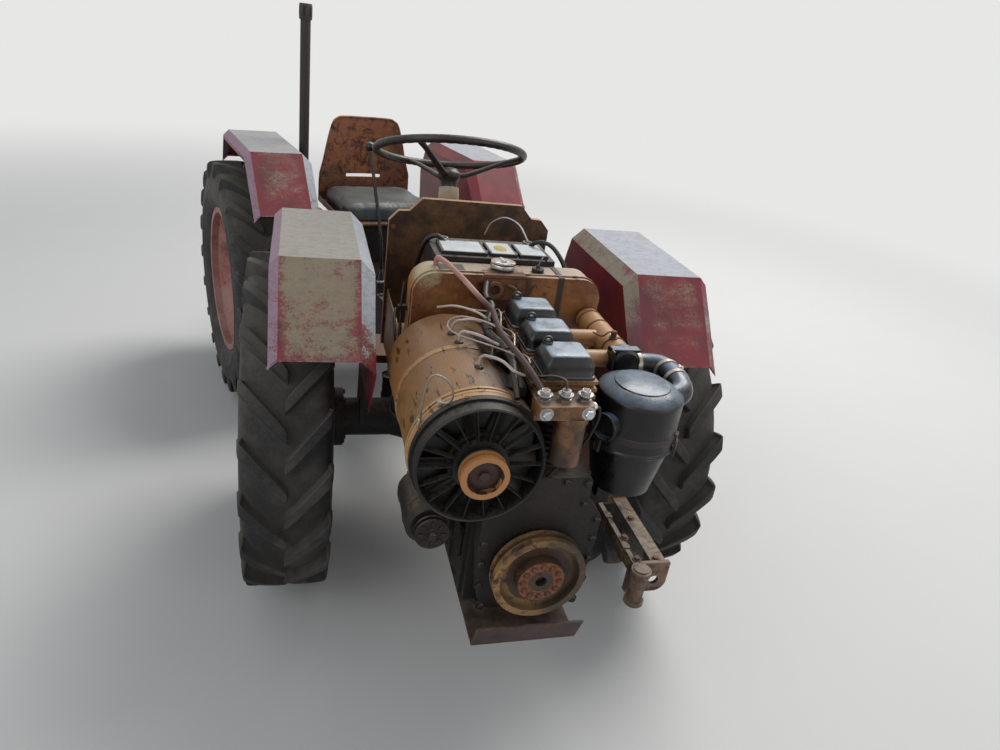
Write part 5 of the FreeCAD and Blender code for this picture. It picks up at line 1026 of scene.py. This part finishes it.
def filter_trim():
    """Bright plugs and unions on the fuel filter's head, with its outlet pipe."""
    bm = bmesh.new()
    for x in (-0.056, -0.010, 0.034):
        hexagon(bm, aim((x, -0.864, 0.5605), (0, 0, 1)), 0.0115, 0.010)
        lathe(bm, [(0.013, 0.0), (0.013, 0.004), (0.011, 0.005), (0.0, 0.005)], aim((x, -0.864, 0.547), (0, 0, 1)), 20)
    for x, z in ((-0.058, 0.530), (0.034, 0.532)):
        hexagon(bm, aim((x, -0.896, z), (0, -1, 0)), 0.0105, 0.012)
    hexagon(bm, aim((0.050, -0.864, 0.531), (1, 0, 0)), 0.009, 0.014)
    piece("filter_plugs", bm, FRONT, "front_half", "bright_steel", "silver", 25)
    bm = bmesh.new()
    lathe(bm, [(0.0345, 0.0), (0.0375, 0.001), (0.0375, 0.010), (0.0345, 0.011)], aim((0.012, -0.864, 0.500), (0, 0, 1)), 40)
    lathe(bm, [(0.0, -0.006), (0.012, -0.006), (0.013, 0.0), (0.0, 0.001)], aim((0.012, -0.864, 0.389), (0, 0, 1)), 20)
    box(bm, (-0.074, -0.870, 0.500), (-0.052, -0.845, 0.520))
    piece("filter_band", bm, FRONT, "front_half", "engine_orange", None, 35, 0.001)
    bm = bmesh.new()
    sweep(bm, [(0.062, -0.864, 0.531), (0.074, -0.862, 0.520), (0.078, -0.852, 0.480), (0.060, -0.845, 0.420),
               (0.020, -0.842, 0.370), (-0.010, -0.842, 0.330)], 0.004, 8, 5)
    sweep(bm, [(-0.010, -0.864, 0.574), (-0.012, -0.850, 0.585), (-0.030, -0.826, 0.582), (-0.058, -0.806, 0.570),
               (-0.066, -0.780, 0.560)], 0.0032, 8, 5)
    piece("filter_pipes", bm, FRONT, "front_half", "dark_iron", None, 60)


def wires():
    """The loom along the heads, the stop cable's loop over the duct and the cables beside the tank."""
    bm = bmesh.new()
    sweep(bm, [(-0.070, -0.345, 0.610), (-0.082, -0.395, 0.592), (-0.074, -0.440, 0.580), (-0.100, -0.500, 0.560),
               (-0.104, -0.560, 0.556), (-0.088, -0.620, 0.556), (-0.082, -0.690, 0.552), (-0.092, -0.750, 0.548),
               (-0.098, -0.800, 0.536), (-0.100, -0.824, 0.526)], [0.008, 0.008, 0.010, 0.011, 0.011, 0.010, 0.009, 0.008, 0.006], 10, 6)
    sweep(bm, [(-0.086, -0.520, 0.566), (-0.120, -0.560, 0.548), (-0.112, -0.620, 0.552), (-0.130, -0.680, 0.545)], 0.0035, 8, 5)
    for spot, way in (((-0.103, -0.545, 0.557), (0, 1, 0)), ((-0.084, -0.650, 0.555), (0, 1, 0)), ((-0.079, -0.420, 0.586), (0.1, 1, -0.3))):
        lathe(bm, [(0.0095, -0.006), (0.0125, -0.006), (0.0125, 0.006), (0.0095, 0.006)], aim(spot, way), 16, closed=True)
    box(bm, (-0.104, -0.640, 0.500), (-0.062, -0.618, 0.548))
    box(bm, (-0.110, -0.760, 0.496), (-0.060, -0.700, 0.520))
    piece("wiring_loom", bm, FRONT, "front_half", "black_plastic", "loom", 50)
    bm = bmesh.new()
    sweep(bm, [(-0.300, -0.812, 0.462), (-0.304, -0.826, 0.500), (-0.300, -0.834, 0.560), (-0.288, -0.838, 0.588),
               (-0.262, -0.840, 0.580), (-0.246, -0.838, 0.556), (-0.243, -0.834, 0.532)], 0.0022, 8, 6)
    sweep(bm, [(-0.243, -0.834, 0.532), (-0.248, -0.826, 0.518), (-0.262, -0.815, 0.512)], 0.0022, 8, 5)
    lathe(bm, [(0.0, 0.0), (0.005, 0.0), (0.005, 0.012), (0.0, 0.012)], aim((-0.304, -0.810, 0.456), (0.3, 0, 1)), 12)
    hexagon(bm, aim((-0.262, -0.812, 0.5085), (-0.5, 0, 1)), 0.006, 0.008)
    piece("stop_cable", bm, FRONT, "front_half", "bright_steel", None, 50)
    bm = bmesh.new()
    sweep(bm, [(-0.270, -0.230, 0.560), (-0.279, -0.262, 0.500), (-0.281, -0.300, 0.400), (-0.288, -0.318, 0.300),
               (-0.296, -0.330, 0.220), (-0.262, -0.345, 0.190), (-0.205, -0.352, 0.176)], 0.0045, 8, 6)
    sweep(bm, [(-0.271, -0.100, 0.430), (-0.282, -0.180, 0.420), (-0.284, -0.260, 0.370), (-0.282, -0.310, 0.280),
               (-0.240, -0.350, 0.215), (-0.200, -0.356, 0.205)], 0.0035, 8, 6)
    for z, y in ((0.500, -0.262), (0.300, -0.318)):
        box(bm, (-0.288, y - 0.010, z - 0.006), (-0.262, y + 0.006, z + 0.006))
    piece("side_cables", bm, FRONT, "front_half", "black_plastic", "loom", 50)


def carrier_trim():
    spots = [((0.250, y, 0.112), (0, 0, 1)) for y in (-0.880, -0.800, -0.640, -0.580)]
    spots += [((0.315, y, 0.090), (0, 0, 1)) for y in (-0.860, -0.700)]
    spots += [((0.262, -0.890, 0.070), (0, -1, 0)), ((0.262, -0.890, 0.035), (0, -1, 0))]
    bolts("carrier_bolts", spots, 0.008, 0.007, FRONT, "front_half", "rusty_steel")


def dynamo_trim():
    bm = bmesh.new()
    body = aim((-0.250, -0.640, 0.170), (0, -1, 0))
    for high in (0.012, 0.098):
        lathe(bm, [(0.0575, high), (0.0600, high + 0.001), (0.0600, high + 0.013), (0.0575, high + 0.014)], body, 48)
    for i in range(10):
        angle = math.pi / 5 * i
        slot = body @ Matrix.Rotation(angle, 4, "Z")
        box(bm, (0.052, -0.006, 0.112), (0.0592, 0.006, 0.134), slot)
    hexagon(bm, aim((-0.250, -0.823, 0.170), (0, -1, 0)), 0.011, 0.012)
    for i in range(8):
        angle = math.pi / 4 * i
        fin = aim((-0.250, -0.812, 0.170), (0, -1, 0)) @ Matrix.Rotation(angle, 4, "Z")
        box(bm, (0.020, -0.003, 0.011), (0.034, 0.003, 0.0135), fin)
    piece("dynamo_trim", bm, FRONT, "front_half", "dark_iron", None, 30, 0.0008)


valve_covers()
injectors()
engine_bolts()
blower_trim()
air_cleaner()
manifold_trim()
filter_trim()
wires()
carrier_trim()
dynamo_trim()


# Tank, battery and dash


def tank_trim():
    """Filler cap, level sender, hold-down straps and the old bonnet catch on the tank's front edge."""
    bm = bmesh.new()
    lathe(bm, [(0.0, 0.6505), (0.020, 0.6515), (0.030, 0.6500), (0.0345, 0.6460), (0.0350, 0.6380), (0.0335, 0.6350), (0.026, 0.6345)],
          aim((-0.015, -0.2875, 0), (0, 0, 1)), 48)
    for i in range(3):
        angle = math.radians(30 + 120 * i)
        box(bm, (0.010, -0.004, 0.6500), (0.033, 0.004, 0.6535), aim((-0.015, -0.2875, 0), (0, 0, 1)) @ Matrix.Rotation(angle, 4, "Z"))
    piece("filler_cap", bm, FRONT, "front_half", "bright_steel", "silver", 35, 0.001)
    bm = bmesh.new()
    box(bm, (-0.075, -0.3385, 0.560), (0.040, -0.3350, 0.622))
    box(bm, (-0.075, -0.3385, 0.6185), (0.040, -0.300, 0.630))
    lathe(bm, [(0.014, 0.0), (0.024, 0.0), (0.024, 0.010), (0.014, 0.010)], aim((-0.045, -0.339, 0.590), (0, -1, 0)), 28, closed=True)
    sweep(bm, [(-0.010, -0.341, 0.604), (0.010, -0.352, 0.598), (0.018, -0.350, 0.575), (0.006, -0.345, 0.560)], 0.004, 8, 5)
    hexagon(bm, aim((0.022, -0.3385, 0.600), (0, -1, 0)), 0.008, 0.006)
    hexagon(bm, aim((-0.066, -0.3385, 0.575), (0, -1, 0)), 0.008, 0.006)
    piece("bonnet_catch", bm, FRONT, "front_half", "rusty_steel", None, 30, 0.0012)
    bm = bmesh.new()
    box(bm, (0.135, -0.3365, 0.6268), (0.150, -0.2385, 0.6292))
    box(bm, (0.135, -0.3378, 0.300), (0.150, -0.3352, 0.6292))
    box(bm, (-0.252 + 0.06, -0.318, 0.6268), (-0.252 + 0.13, -0.262, 0.6290))
    piece("tank_strap", bm, FRONT, "front_half", "black_gloss", "stack", 30, 0.0008)
    bm = bmesh.new()
    lathe(bm, [(0.0, 0.640), (0.014, 0.640), (0.017, 0.637), (0.017, 0.6265)], aim((0.085, -0.290, 0), (0, 0, 1)), 24)
    hexagon(bm, aim((0.085, -0.290, 0.640), (0, 0, 1)), 0.006, 0.006)
    sweep(bm, [(0.085, -0.290, 0.646), (0.100, -0.268, 0.660), (0.118, -0.240, 0.650), (0.150, -0.222, 0.610)], 0.0022, 6, 5)
    piece("level_sender", bm, FRONT, "front_half", "black_plastic", "loom", 35)


def battery_trim():
    """Raised vent covers with blank pale labels, clamps on the posts, and the two cables."""
    bm = bmesh.new()
    covers = ((-0.172, -0.042), (-0.034, 0.044), (0.052, 0.136))
    for left, right in covers:
        box(bm, (left, -0.218, 0.640), (right, -0.112, 0.6500))
    box(bm, (-0.190, -0.2345, 0.560), (0.150, -0.2325, 0.590))
    piece("vent_covers", bm, FRONT, "front_half", "black_plastic", None, 30, 0.002)
    bm = bmesh.new()
    box(bm, (-0.165, -0.213, 0.6498), (-0.049, -0.120, 0.6506))
    box(bm, (-0.120, -0.122, 0.6498), (-0.049, -0.116, 0.6506))
    box(bm, (-0.028, -0.213, 0.6498), (0.038, -0.117, 0.6506))
    box(bm, (0.058, -0.213, 0.6498), (0.130, -0.117, 0.6506))
    piece("battery_labels", bm, FRONT, "front_half", "black_plastic", "label", 30)
    bm = bmesh.new()
    lathe(bm, [(0.0, 0.0008), (0.018, 0.0008), (0.0195, 0.0)], aim((0.004, -0.168, 0.6503), (0, 0, 1)) @ Matrix.Diagonal((1.0, 1.5, 1, 1)), 24)
    piece("label_stain", bm, FRONT, "front_half", "black_plastic", "stain", 40)
    bm = bmesh.new()
    for x in (-0.148, 0.108):
        post = aim((x, -0.094, 0.641), (0, 0, 1))
        lathe(bm, [(0.010, 0.001), (0.015, 0.001), (0.015, 0.012), (0.010, 0.012)], post, 20, closed=True)
        box(bm, (x - 0.006, -0.125, 0.642), (x + 0.006, -0.104, 0.652))
        hexagon(bm, aim((x + 0.006, -0.117, 0.647), (1, 0, 0)), 0.005, 0.006, False)
    piece("battery_clamps", bm, FRONT, "front_half", "bright_steel", None, 30, 0.0008)
    bm = bmesh.new()
    sweep(bm, [(0.108, -0.120, 0.650), (0.128, -0.140, 0.668), (0.160, -0.165, 0.664), (0.190, -0.200, 0.625), (0.215, -0.225, 0.560),
               (0.235, -0.228, 0.470), (0.246, -0.205, 0.392)], 0.0065, 10, 6)
    sweep(bm, [(-0.148, -0.120, 0.648), (-0.172, -0.110, 0.660), (-0.200, -0.090, 0.630), (-0.215, -0.070, 0.540), (-0.215, -0.060, 0.400)],
          0.0065, 10, 6)
    piece("battery_cables", bm, FRONT, "front_half", "black_plastic", "loom", 60)
    bm = bmesh.new()
    sweep(bm, [(0.050, 0.199, 0.585), (0.052, 0.140, 0.640), (0.066, 0.040, 0.686), (0.090, -0.040, 0.688), (0.108, -0.092, 0.655)], 0.0022, 8, 6)
    piece("battery_wire", bm, FRONT, "front_half", "hose_pink", "label", 60)


def dash_trim():
    """What the driver sees: three plain dials, a key switch and two knobs, with bolts through the skin."""
    face = 0.2035
    bm = bmesh.new()
    for x, z, r in ((0.070, 0.560, 0.040), (0.165, 0.545, 0.026), (-0.165, 0.545, 0.026)):
        lathe(bm, [(r - 0.004, 0.0), (r, 0.0), (r, 0.010), (r - 0.002, 0.012), (r - 0.004, 0.010)], aim((x, face, z), (0, 1, 0)), 40, closed=True)
    piece("dial_rims", bm, FRONT, "front_half", "bright_steel", None, 40)
    bm = bmesh.new()
    for x, z, r in ((0.070, 0.560, 0.040), (0.165, 0.545, 0.026), (-0.165, 0.545, 0.026)):
        lathe(bm, [(r - 0.0035, 0.0), (r - 0.0035, 0.006), (0.0, 0.006)], aim((x, face, z), (0, 1, 0)), 40)
    piece("dial_faces", bm, FRONT, "front_half", "black_plastic", "dial", 40)
    bm = bmesh.new()
    for x, z, r in ((0.070, 0.560, 0.040), (0.165, 0.545, 0.026), (-0.165, 0.545, 0.026)):
        for i in range(9):
            angle = math.radians(-30 + 30 * i)
            out = aim((x, face + 0.0062, z), (0, 1, 0)) @ Matrix.Rotation(angle, 4, "Z")
            box(bm, (r * 0.68, -0.0007, 0.0), (r * 0.84, 0.0007, 0.0004), out)
        needle = aim((x, face + 0.0066, z), (0, 1, 0)) @ Matrix.Rotation(math.radians(200), 4, "Z")
        box(bm, (-r * 0.1, -0.0008, 0.0), (r * 0.7, 0.0008, 0.0005), needle)
    piece("dial_marks", bm, FRONT, "front_half", "black_plastic", "label", 40)
    bm = bmesh.new()
    for x, z in ((-0.020, 0.500), (0.010, 0.470)):
        lathe(bm, [(0.006, 0.0), (0.006, 0.014), (0.013, 0.018), (0.014, 0.026), (0.010, 0.030), (0.0, 0.031)], aim((x, face, z), (0, 1, 0)), 20)
    lathe(bm, [(0.014, 0.0), (0.014, 0.006), (0.009, 0.008), (0.0, 0.008)], aim((0.160, face, 0.470), (0, 1, 0)), 24)
    box(bm, (0.158, face + 0.008, 0.462), (0.162, face + 0.026, 0.478))
    piece("dash_knobs", bm, FRONT, "front_half", "black_plastic", None, 35)
    spots = []
    for x in (-0.255, 0.255):
        for z in (0.230, 0.370, 0.500, 0.590):
            spots.append(((x, 0.1995, z), (0, -1, 0)))
    bolts("dash_bolts", spots, 0.0065, 0.005, FRONT, "front_half", "rusty_steel")


def steering_wheel():
    """A thick grip notched for the fingers below, three tapered spokes and a stepped hub."""
    joint = JOINTS["steering"]
    place = aim(Vector(joint["pos_m"]), joint["axis"])
    ring, grip, dish = 0.246, 0.0135, 0.080
    bm = bmesh.new()
    steps, sides = 144, 16
    rings = []
    for i in range(steps):
        angle = 2 * math.pi * i / steps
        loop = []
        for k in range(sides):
            around = 2 * math.pi * k / sides
            low = max(0.0, -math.sin(around))
            notch = 0.0016 * low * (0.5 + 0.5 * math.cos(angle * 48))
            r = grip - notch
            loop.append(bm.verts.new(((ring + r * math.cos(around)) * math.cos(angle),
                                      (ring + r * math.cos(around)) * math.sin(angle), r * math.sin(around))))
        rings.append(loop)
    for i, low in enumerate(rings):
        high = rings[(i + 1) % steps]
        for k in range(sides):
            bm.faces.new((low[k], high[k], high[(k + 1) % sides], low[(k + 1) % sides]))
    for degrees in (-65, 55, 175):
        turn = Matrix.Rotation(math.radians(degrees), 4, "Z")
        loops = []
        for out, high, wide, thick in ((0.018, -dish + 0.004, 0.017, 0.010), (0.060, -dish + 0.012, 0.014, 0.009),
                                       (0.120, -dish + 0.036, 0.0115, 0.0085), (0.190, -dish + 0.064, 0.0105, 0.008),
                                       (0.236, -0.002, 0.012, 0.009)):
            loops.append([turn @ Vector((out, wide * math.cos(2 * math.pi * k / 12), high + thick * math.sin(2 * math.pi * k / 12)))
                          for k in range(12)])
        stack_loops(bm, loops)
    lathe(bm, [(0.0, -dish - 0.030), (0.026, -dish - 0.030), (0.028, -dish - 0.012), (0.036, -dish - 0.004), (0.040, -dish + 0.008),
               (0.036, -dish + 0.018), (0.029, -dish + 0.022), (0.026, -dish + 0.030), (0.012, -dish + 0.033), (0.0, -dish + 0.033)],
          Matrix(), 40)
    bmesh.ops.recalc_face_normals(bm, faces=bm.faces)
    piece("hand_wheel_grip", bm, place, "hand_wheel", "black_plastic", "wheel_dark", 50, replaces=("steering_wheel",))
    bm = bmesh.new()
    lathe(bm, [(0.0245, -dish - 0.075), (0.033, -dish - 0.075), (0.0345, -dish - 0.072), (0.0345, -dish - 0.036), (0.033, -dish - 0.032),
               (0.0245, -dish - 0.032)], place, 40, closed=True)
    piece("column_collar", bm, Matrix(), "front_half", "black_gloss", "collar", 40)


tank_trim()
battery_trim()
dash_trim()
steering_wheel()


# Driver's place, exhaust and rear


SEAT_FRONT, SEAT_DEPTH, SEAT_HALF, SEAT_TOP, CUSHION = 0.592, 0.400, 0.232, 0.427, 0.075


def cushion():
    """A vinyl cushion: a crowned pad inflated as cloth, then a seam pressed in round its foot."""
    low, high = SEAT_TOP - CUSHION + 0.001, SEAT_TOP
    front, back = SEAT_FRONT + 0.004, SEAT_FRONT + SEAT_DEPTH - 0.030
    bm = bmesh.new()
    loops = []
    for share, grow in ((0.0, -0.004), (0.12, 0.0), (0.5, 0.001), (0.84, 0.0), (0.95, -0.005), (1.0, -0.014)):
        half, deep = SEAT_HALF - 0.010 + grow, (back - front) / 2 + grow
        z = low + (high - low) * share * 0.86
        loops.append([Vector((u * (1 - 0.035 * (v / deep + 1)), (front + back) / 2 + v, z)) for u, v in rounded(half, deep, 0.040)])
    stack_loops(bm, loops)
    bmesh.ops.triangulate(bm, faces=[f for f in bm.faces if len(f.verts) > 4])
    made = piece("seat_cushion_pad", bm, REAR, "rear_half", "seat_vinyl", None, 180, replaces=("seat_cushion",))
    bpy.context.view_layer.objects.active = made
    made.select_set(True)
    mesh_again = made.modifiers.new("voxels", "REMESH")
    mesh_again.mode = "VOXEL"
    mesh_again.voxel_size = 0.006
    bpy.ops.object.modifier_apply(modifier="voxels")
    rest = [vertex.co.copy() for vertex in made.data.vertices]
    cloth = made.modifiers.new("inflate", "CLOTH")
    cloth.settings.use_pressure = True
    cloth.settings.uniform_pressure_force = 4.0
    cloth.settings.effector_weights.gravity = 0.0
    cloth.settings.tension_stiffness = 12.0
    cloth.settings.quality = 4
    for step in range(1, 21):
        bpy.context.scene.frame_set(step)
    bpy.ops.object.modifier_apply(modifier="inflate")
    bpy.context.scene.frame_set(1)
    inverse = REAR.inverted()
    middle_y = (front + back) / 2
    for vertex, start in zip(made.data.vertices, rest):
        move = vertex.co - start
        if move.length > 0.012:
            move *= 0.012 / move.length
        spot = inverse @ (start + move)
        spot.z = max(low, min(SEAT_TOP + 0.004, spot.z))
        round_it = max(0.0, 1 - (spot.x / SEAT_HALF) ** 2) * max(0.0, 1 - ((spot.y - middle_y) / (SEAT_DEPTH / 2)) ** 2)
        share = (spot.z - low) / CUSHION
        spot.z += 0.006 * round_it * share
        seam = math.exp(-((share - 0.16) / 0.035) ** 2)
        pull = 1 - 0.012 * seam
        spot.x *= pull
        spot.y = middle_y + (spot.y - middle_y) * pull
        sag = 0.004 * math.exp(-((spot.x + 0.03) ** 2 / 0.012 + (spot.y - middle_y - 0.03) ** 2 / 0.012))
        spot.z -= sag * share
        spot.z += share * 0.0012 * noise.noise(Vector((spot.x * 14, spot.y * 14, 3.0)))
        vertex.co = REAR @ spot
    soft = made.modifiers.new("smooth", "SUBSURF")
    soft.levels = 1
    soft.render_levels = 1
    made.data.shade_smooth()


def seat_trim():
    """A rolled bead round the backrest, the pan's bolts and the slot's lip."""
    back = SEAT_FRONT + SEAT_DEPTH
    curve = 0.720

    def sheet_y(x):
        return back + 0.016 - curve + math.sqrt((curve - 0.002) ** 2 - x * x)

    outline = [(-0.222, 0.360), (-0.222, 0.430), (-0.2185, 0.480), (-0.205, 0.530), (-0.180, 0.640), (-0.160, 0.705), (-0.140, 0.725),
               (-0.110, 0.733), (0.0, 0.733), (0.110, 0.733), (0.140, 0.725), (0.160, 0.705), (0.180, 0.640), (0.205, 0.530),
               (0.2185, 0.480), (0.222, 0.430), (0.222, 0.360)]
    bm = bmesh.new()
    sweep(bm, [(x * 0.985, sheet_y(x) + 0.001, z - 0.004) for x, z in outline], 0.0055, 10, 5)
    piece("backrest_bead", bm, REAR, "rear_half", "seat_orange", None, 60)
    spots = [((x, sheet_y(x) + 0.002, z), (-x / curve, 1, 0)) for x, z in ((-0.10, 0.640), (0.10, 0.640), (-0.10, 0.500), (0.10, 0.500))]
    bolts("backrest_bolts", spots, 0.007, 0.005, REAR, "rear_half", "rusty_steel")
    bm = bmesh.new()
    for x in (-0.092, 0.092):
        sweep(bm, [(x, 0.800, 0.300), (x * 1.06, 0.815, 0.318), (x, 0.830, 0.300)], 0.004, 6, 4)
    piece("stand_clips", bm, REAR, "rear_half", "rusty_steel", None, 60)


def stack_trim():
    """The stack's cap and the slots in it."""
    bm = bmesh.new()
    place = Matrix.Translation((-0.312, 0.905, 0))
    lathe(bm, [(0.0212, 1.118), (0.026, 1.118), (0.0265, 1.122), (0.0265, 1.172), (0.024, 1.1765), (0.012, 1.1768), (0.0, 1.1768)], place, 32)
    piece("stack_cap", bm, REAR, "rear_half", "rusty_steel", "stack", 35)
    bm = bmesh.new()
    # painted shade: dark strips stand for the slots in the cap
    for i in range(6):
        box(bm, (0.024, -0.0035, 1.130), (0.0269, 0.0035, 1.166), place @ Matrix.Rotation(math.pi / 3 * i, 4, "Z"))
    piece("stack_slots", bm, REAR, "rear_half", "rusty_steel", "bore", 35)


def rear_bolts():
    """Bolts on the gearbox lid, the axle flanges, the drawbar and the lift arms."""
    spots = []
    for sign in (-1, 1):
        for i in range(6):
            spots.append(((sign * 0.126, 0.230 + 0.105 * i, 0.110), (0, 0, 1)))
        for y in (0.790, 0.900, 1.020):
            spots.append(((sign * 0.106, y, 0.285), (0, 0, 1)))
    bolts("rear_lid_bolts", spots, 0.009, 0.008, REAR, "rear_half", "dark_iron")
    for half, base, shift in (("front", FRONT, 0.0), ("rear", REAR, REAR_AXLE)):
        spots = []
        for sign in (-1, 1):
            for i in range(8):
                angle = math.pi / 4 * i + 0.39
                spots.append(((sign * 0.1545, shift + 0.108 * math.cos(angle), 0.108 * math.sin(angle)), (sign, 0, 0)))
                spots.append(((sign * 0.405, shift + 0.082 * math.cos(angle), 0.082 * math.sin(angle)), (-sign, 0, 0)))
        bolts(f"{half}_axle_bolts", spots, 0.008, 0.008, base, f"{half}_half", "dark_iron")
    spots = [((sign * 0.216, 1.010, 0.240), (sign, 0, 0)) for sign in (-1, 1)]
    bolts("lift_shaft_bolts", spots, 0.012, 0.008, REAR, "arms", "rusty_steel")
    spots = [((sign * 0.2655, 1.250, -0.140), (sign, 0, 0)) for sign in (-1, 1)]
    bolts("link_pin_heads", spots, 0.011, 0.006, REAR, "links", "rusty_steel")


cushion()
seat_trim()
stack_trim()
rear_bolts()


# Floor, light and camera


PALE = (0.80, 0.80, 0.79, 1.0)


def backdrop_share(tree):
    """1 for what the camera, a mirror or glass sees."""
    path = tree.nodes.new("ShaderNodeLightPath")
    both = tree.nodes.new("ShaderNodeMath")
    both.operation = "MAXIMUM"
    tree.links.new(path.outputs["Is Camera Ray"], both.inputs[0])
    tree.links.new(path.outputs["Is Glossy Ray"], both.inputs[1])
    every = tree.nodes.new("ShaderNodeMath")
    every.operation = "MAXIMUM"
    tree.links.new(both.outputs[0], every.inputs[0])
    tree.links.new(path.outputs["Is Transmission Ray"], every.inputs[1])
    return every.outputs[0]


def floor():
    """A pale floor that melts into the backdrop some metres away."""
    bpy.ops.mesh.primitive_circle_add(vertices=64, radius=60, fill_type="NGON")
    made = bpy.context.object
    made.name = "floor"
    p = Paint("floor_pale")
    grain = p.noise(2.0, 3.0)
    p.done(p.mix(p.step(grain, 0.2, 0.8, 0.0, 0.3), (0.60, 0.60, 0.59, 1.0), (0.57, 0.57, 0.56, 1.0)), 0.85, 0.0, 0.2)
    length = p.add("ShaderNodeVectorMath", operation="LENGTH")
    p.link(p.place, length.inputs[0])
    far = p.times(p.step(length.outputs["Value"], 3.2, 8.0), backdrop_share(p.tree))
    glow = p.add("ShaderNodeEmission")
    glow.inputs["Color"].default_value = PALE
    blend = p.add("ShaderNodeMixShader")
    p.link(far, blend.inputs[0])
    p.tree.links.new(p.shader.outputs[0], blend.inputs[1])
    p.tree.links.new(glow.outputs[0], blend.inputs[2])
    p.tree.links.new(blend.outputs[0], p.tree.nodes["Material Output"].inputs["Surface"])
    made.data.materials.append(p.material)


def lamp(name, place, aim_at, size, power, colour=(1.0, 1.0, 1.0)):
    light = bpy.data.lights.new(name, "AREA")
    light.size = size
    light.energy = power
    light.color = colour
    made = bpy.data.objects.new(name, light)
    made.location = place
    made.rotation_euler = (Vector(aim_at) - Vector(place)).to_track_quat("-Z", "Y").to_euler()
    bpy.context.scene.collection.objects.link(made)


def studio():
    """A soft key from behind on the right, a fill beside the camera, and a pale world."""
    floor()
    lamp("key", (3.6, 2.6, 6.4), (0, 0, 0.7), 4.5, 520, (1.0, 0.98, 0.95))
    lamp("fill", (-5.5, -4.5, 4.6), (0, 0, 0.7), 5.0, 150)
    lamp("left", (4.5, -5.0, 3.0), (0, 0, 0.6), 4.0, 70, (1.0, 0.96, 0.92))
    world = bpy.data.worlds.new("studio")
    bpy.context.scene.world = world
    world.use_nodes = True
    tree = world.node_tree
    base = tree.nodes["Background"]
    base.inputs["Color"].default_value = (0.82, 0.88, 0.95, 1.0)
    base.inputs["Strength"].default_value = 0.40
    seen = tree.nodes.new("ShaderNodeBackground")
    seen.inputs["Color"].default_value = PALE
    blend = tree.nodes.new("ShaderNodeMixShader")
    tree.links.new(backdrop_share(tree), blend.inputs[0])
    tree.links.new(base.outputs[0], blend.inputs[1])
    tree.links.new(seen.outputs[0], blend.inputs[2])
    tree.links.new(blend.outputs[0], tree.nodes["World Output"].inputs["Surface"])


def camera():
    """The photograph's own view, solved from the wheels, wings and steering wheel."""
    yaw, pitch, roll = (math.radians(v) for v in (17.505, 26.171, -8.507))
    ahead = Vector((math.sin(yaw) * math.cos(pitch), math.cos(yaw) * math.cos(pitch), -math.sin(pitch)))
    level = Vector((math.cos(yaw), -math.sin(yaw), 0))
    down = ahead.cross(level)
    if down.z > 0:
        down = -down
    right = level * math.cos(roll) + down * math.sin(roll)
    low = -level * math.sin(roll) + down * math.cos(roll)
    lens = bpy.data.cameras.new("photo_view")
    lens.sensor_width = 36.0
    lens.lens = 36.0 * 0.72714
    made = bpy.data.objects.new("photo_view", lens)
    turn = Matrix((right, -low, -ahead)).transposed().to_4x4()
    made.matrix_world = Matrix.Translation(FRONT @ Vector((-0.552, -2.109, 1.245))) @ turn
    bpy.context.scene.collection.objects.link(made)
    bpy.context.scene.camera = made


studio()
camera()
bpy.context.scene.view_settings.view_transform = "Standard"
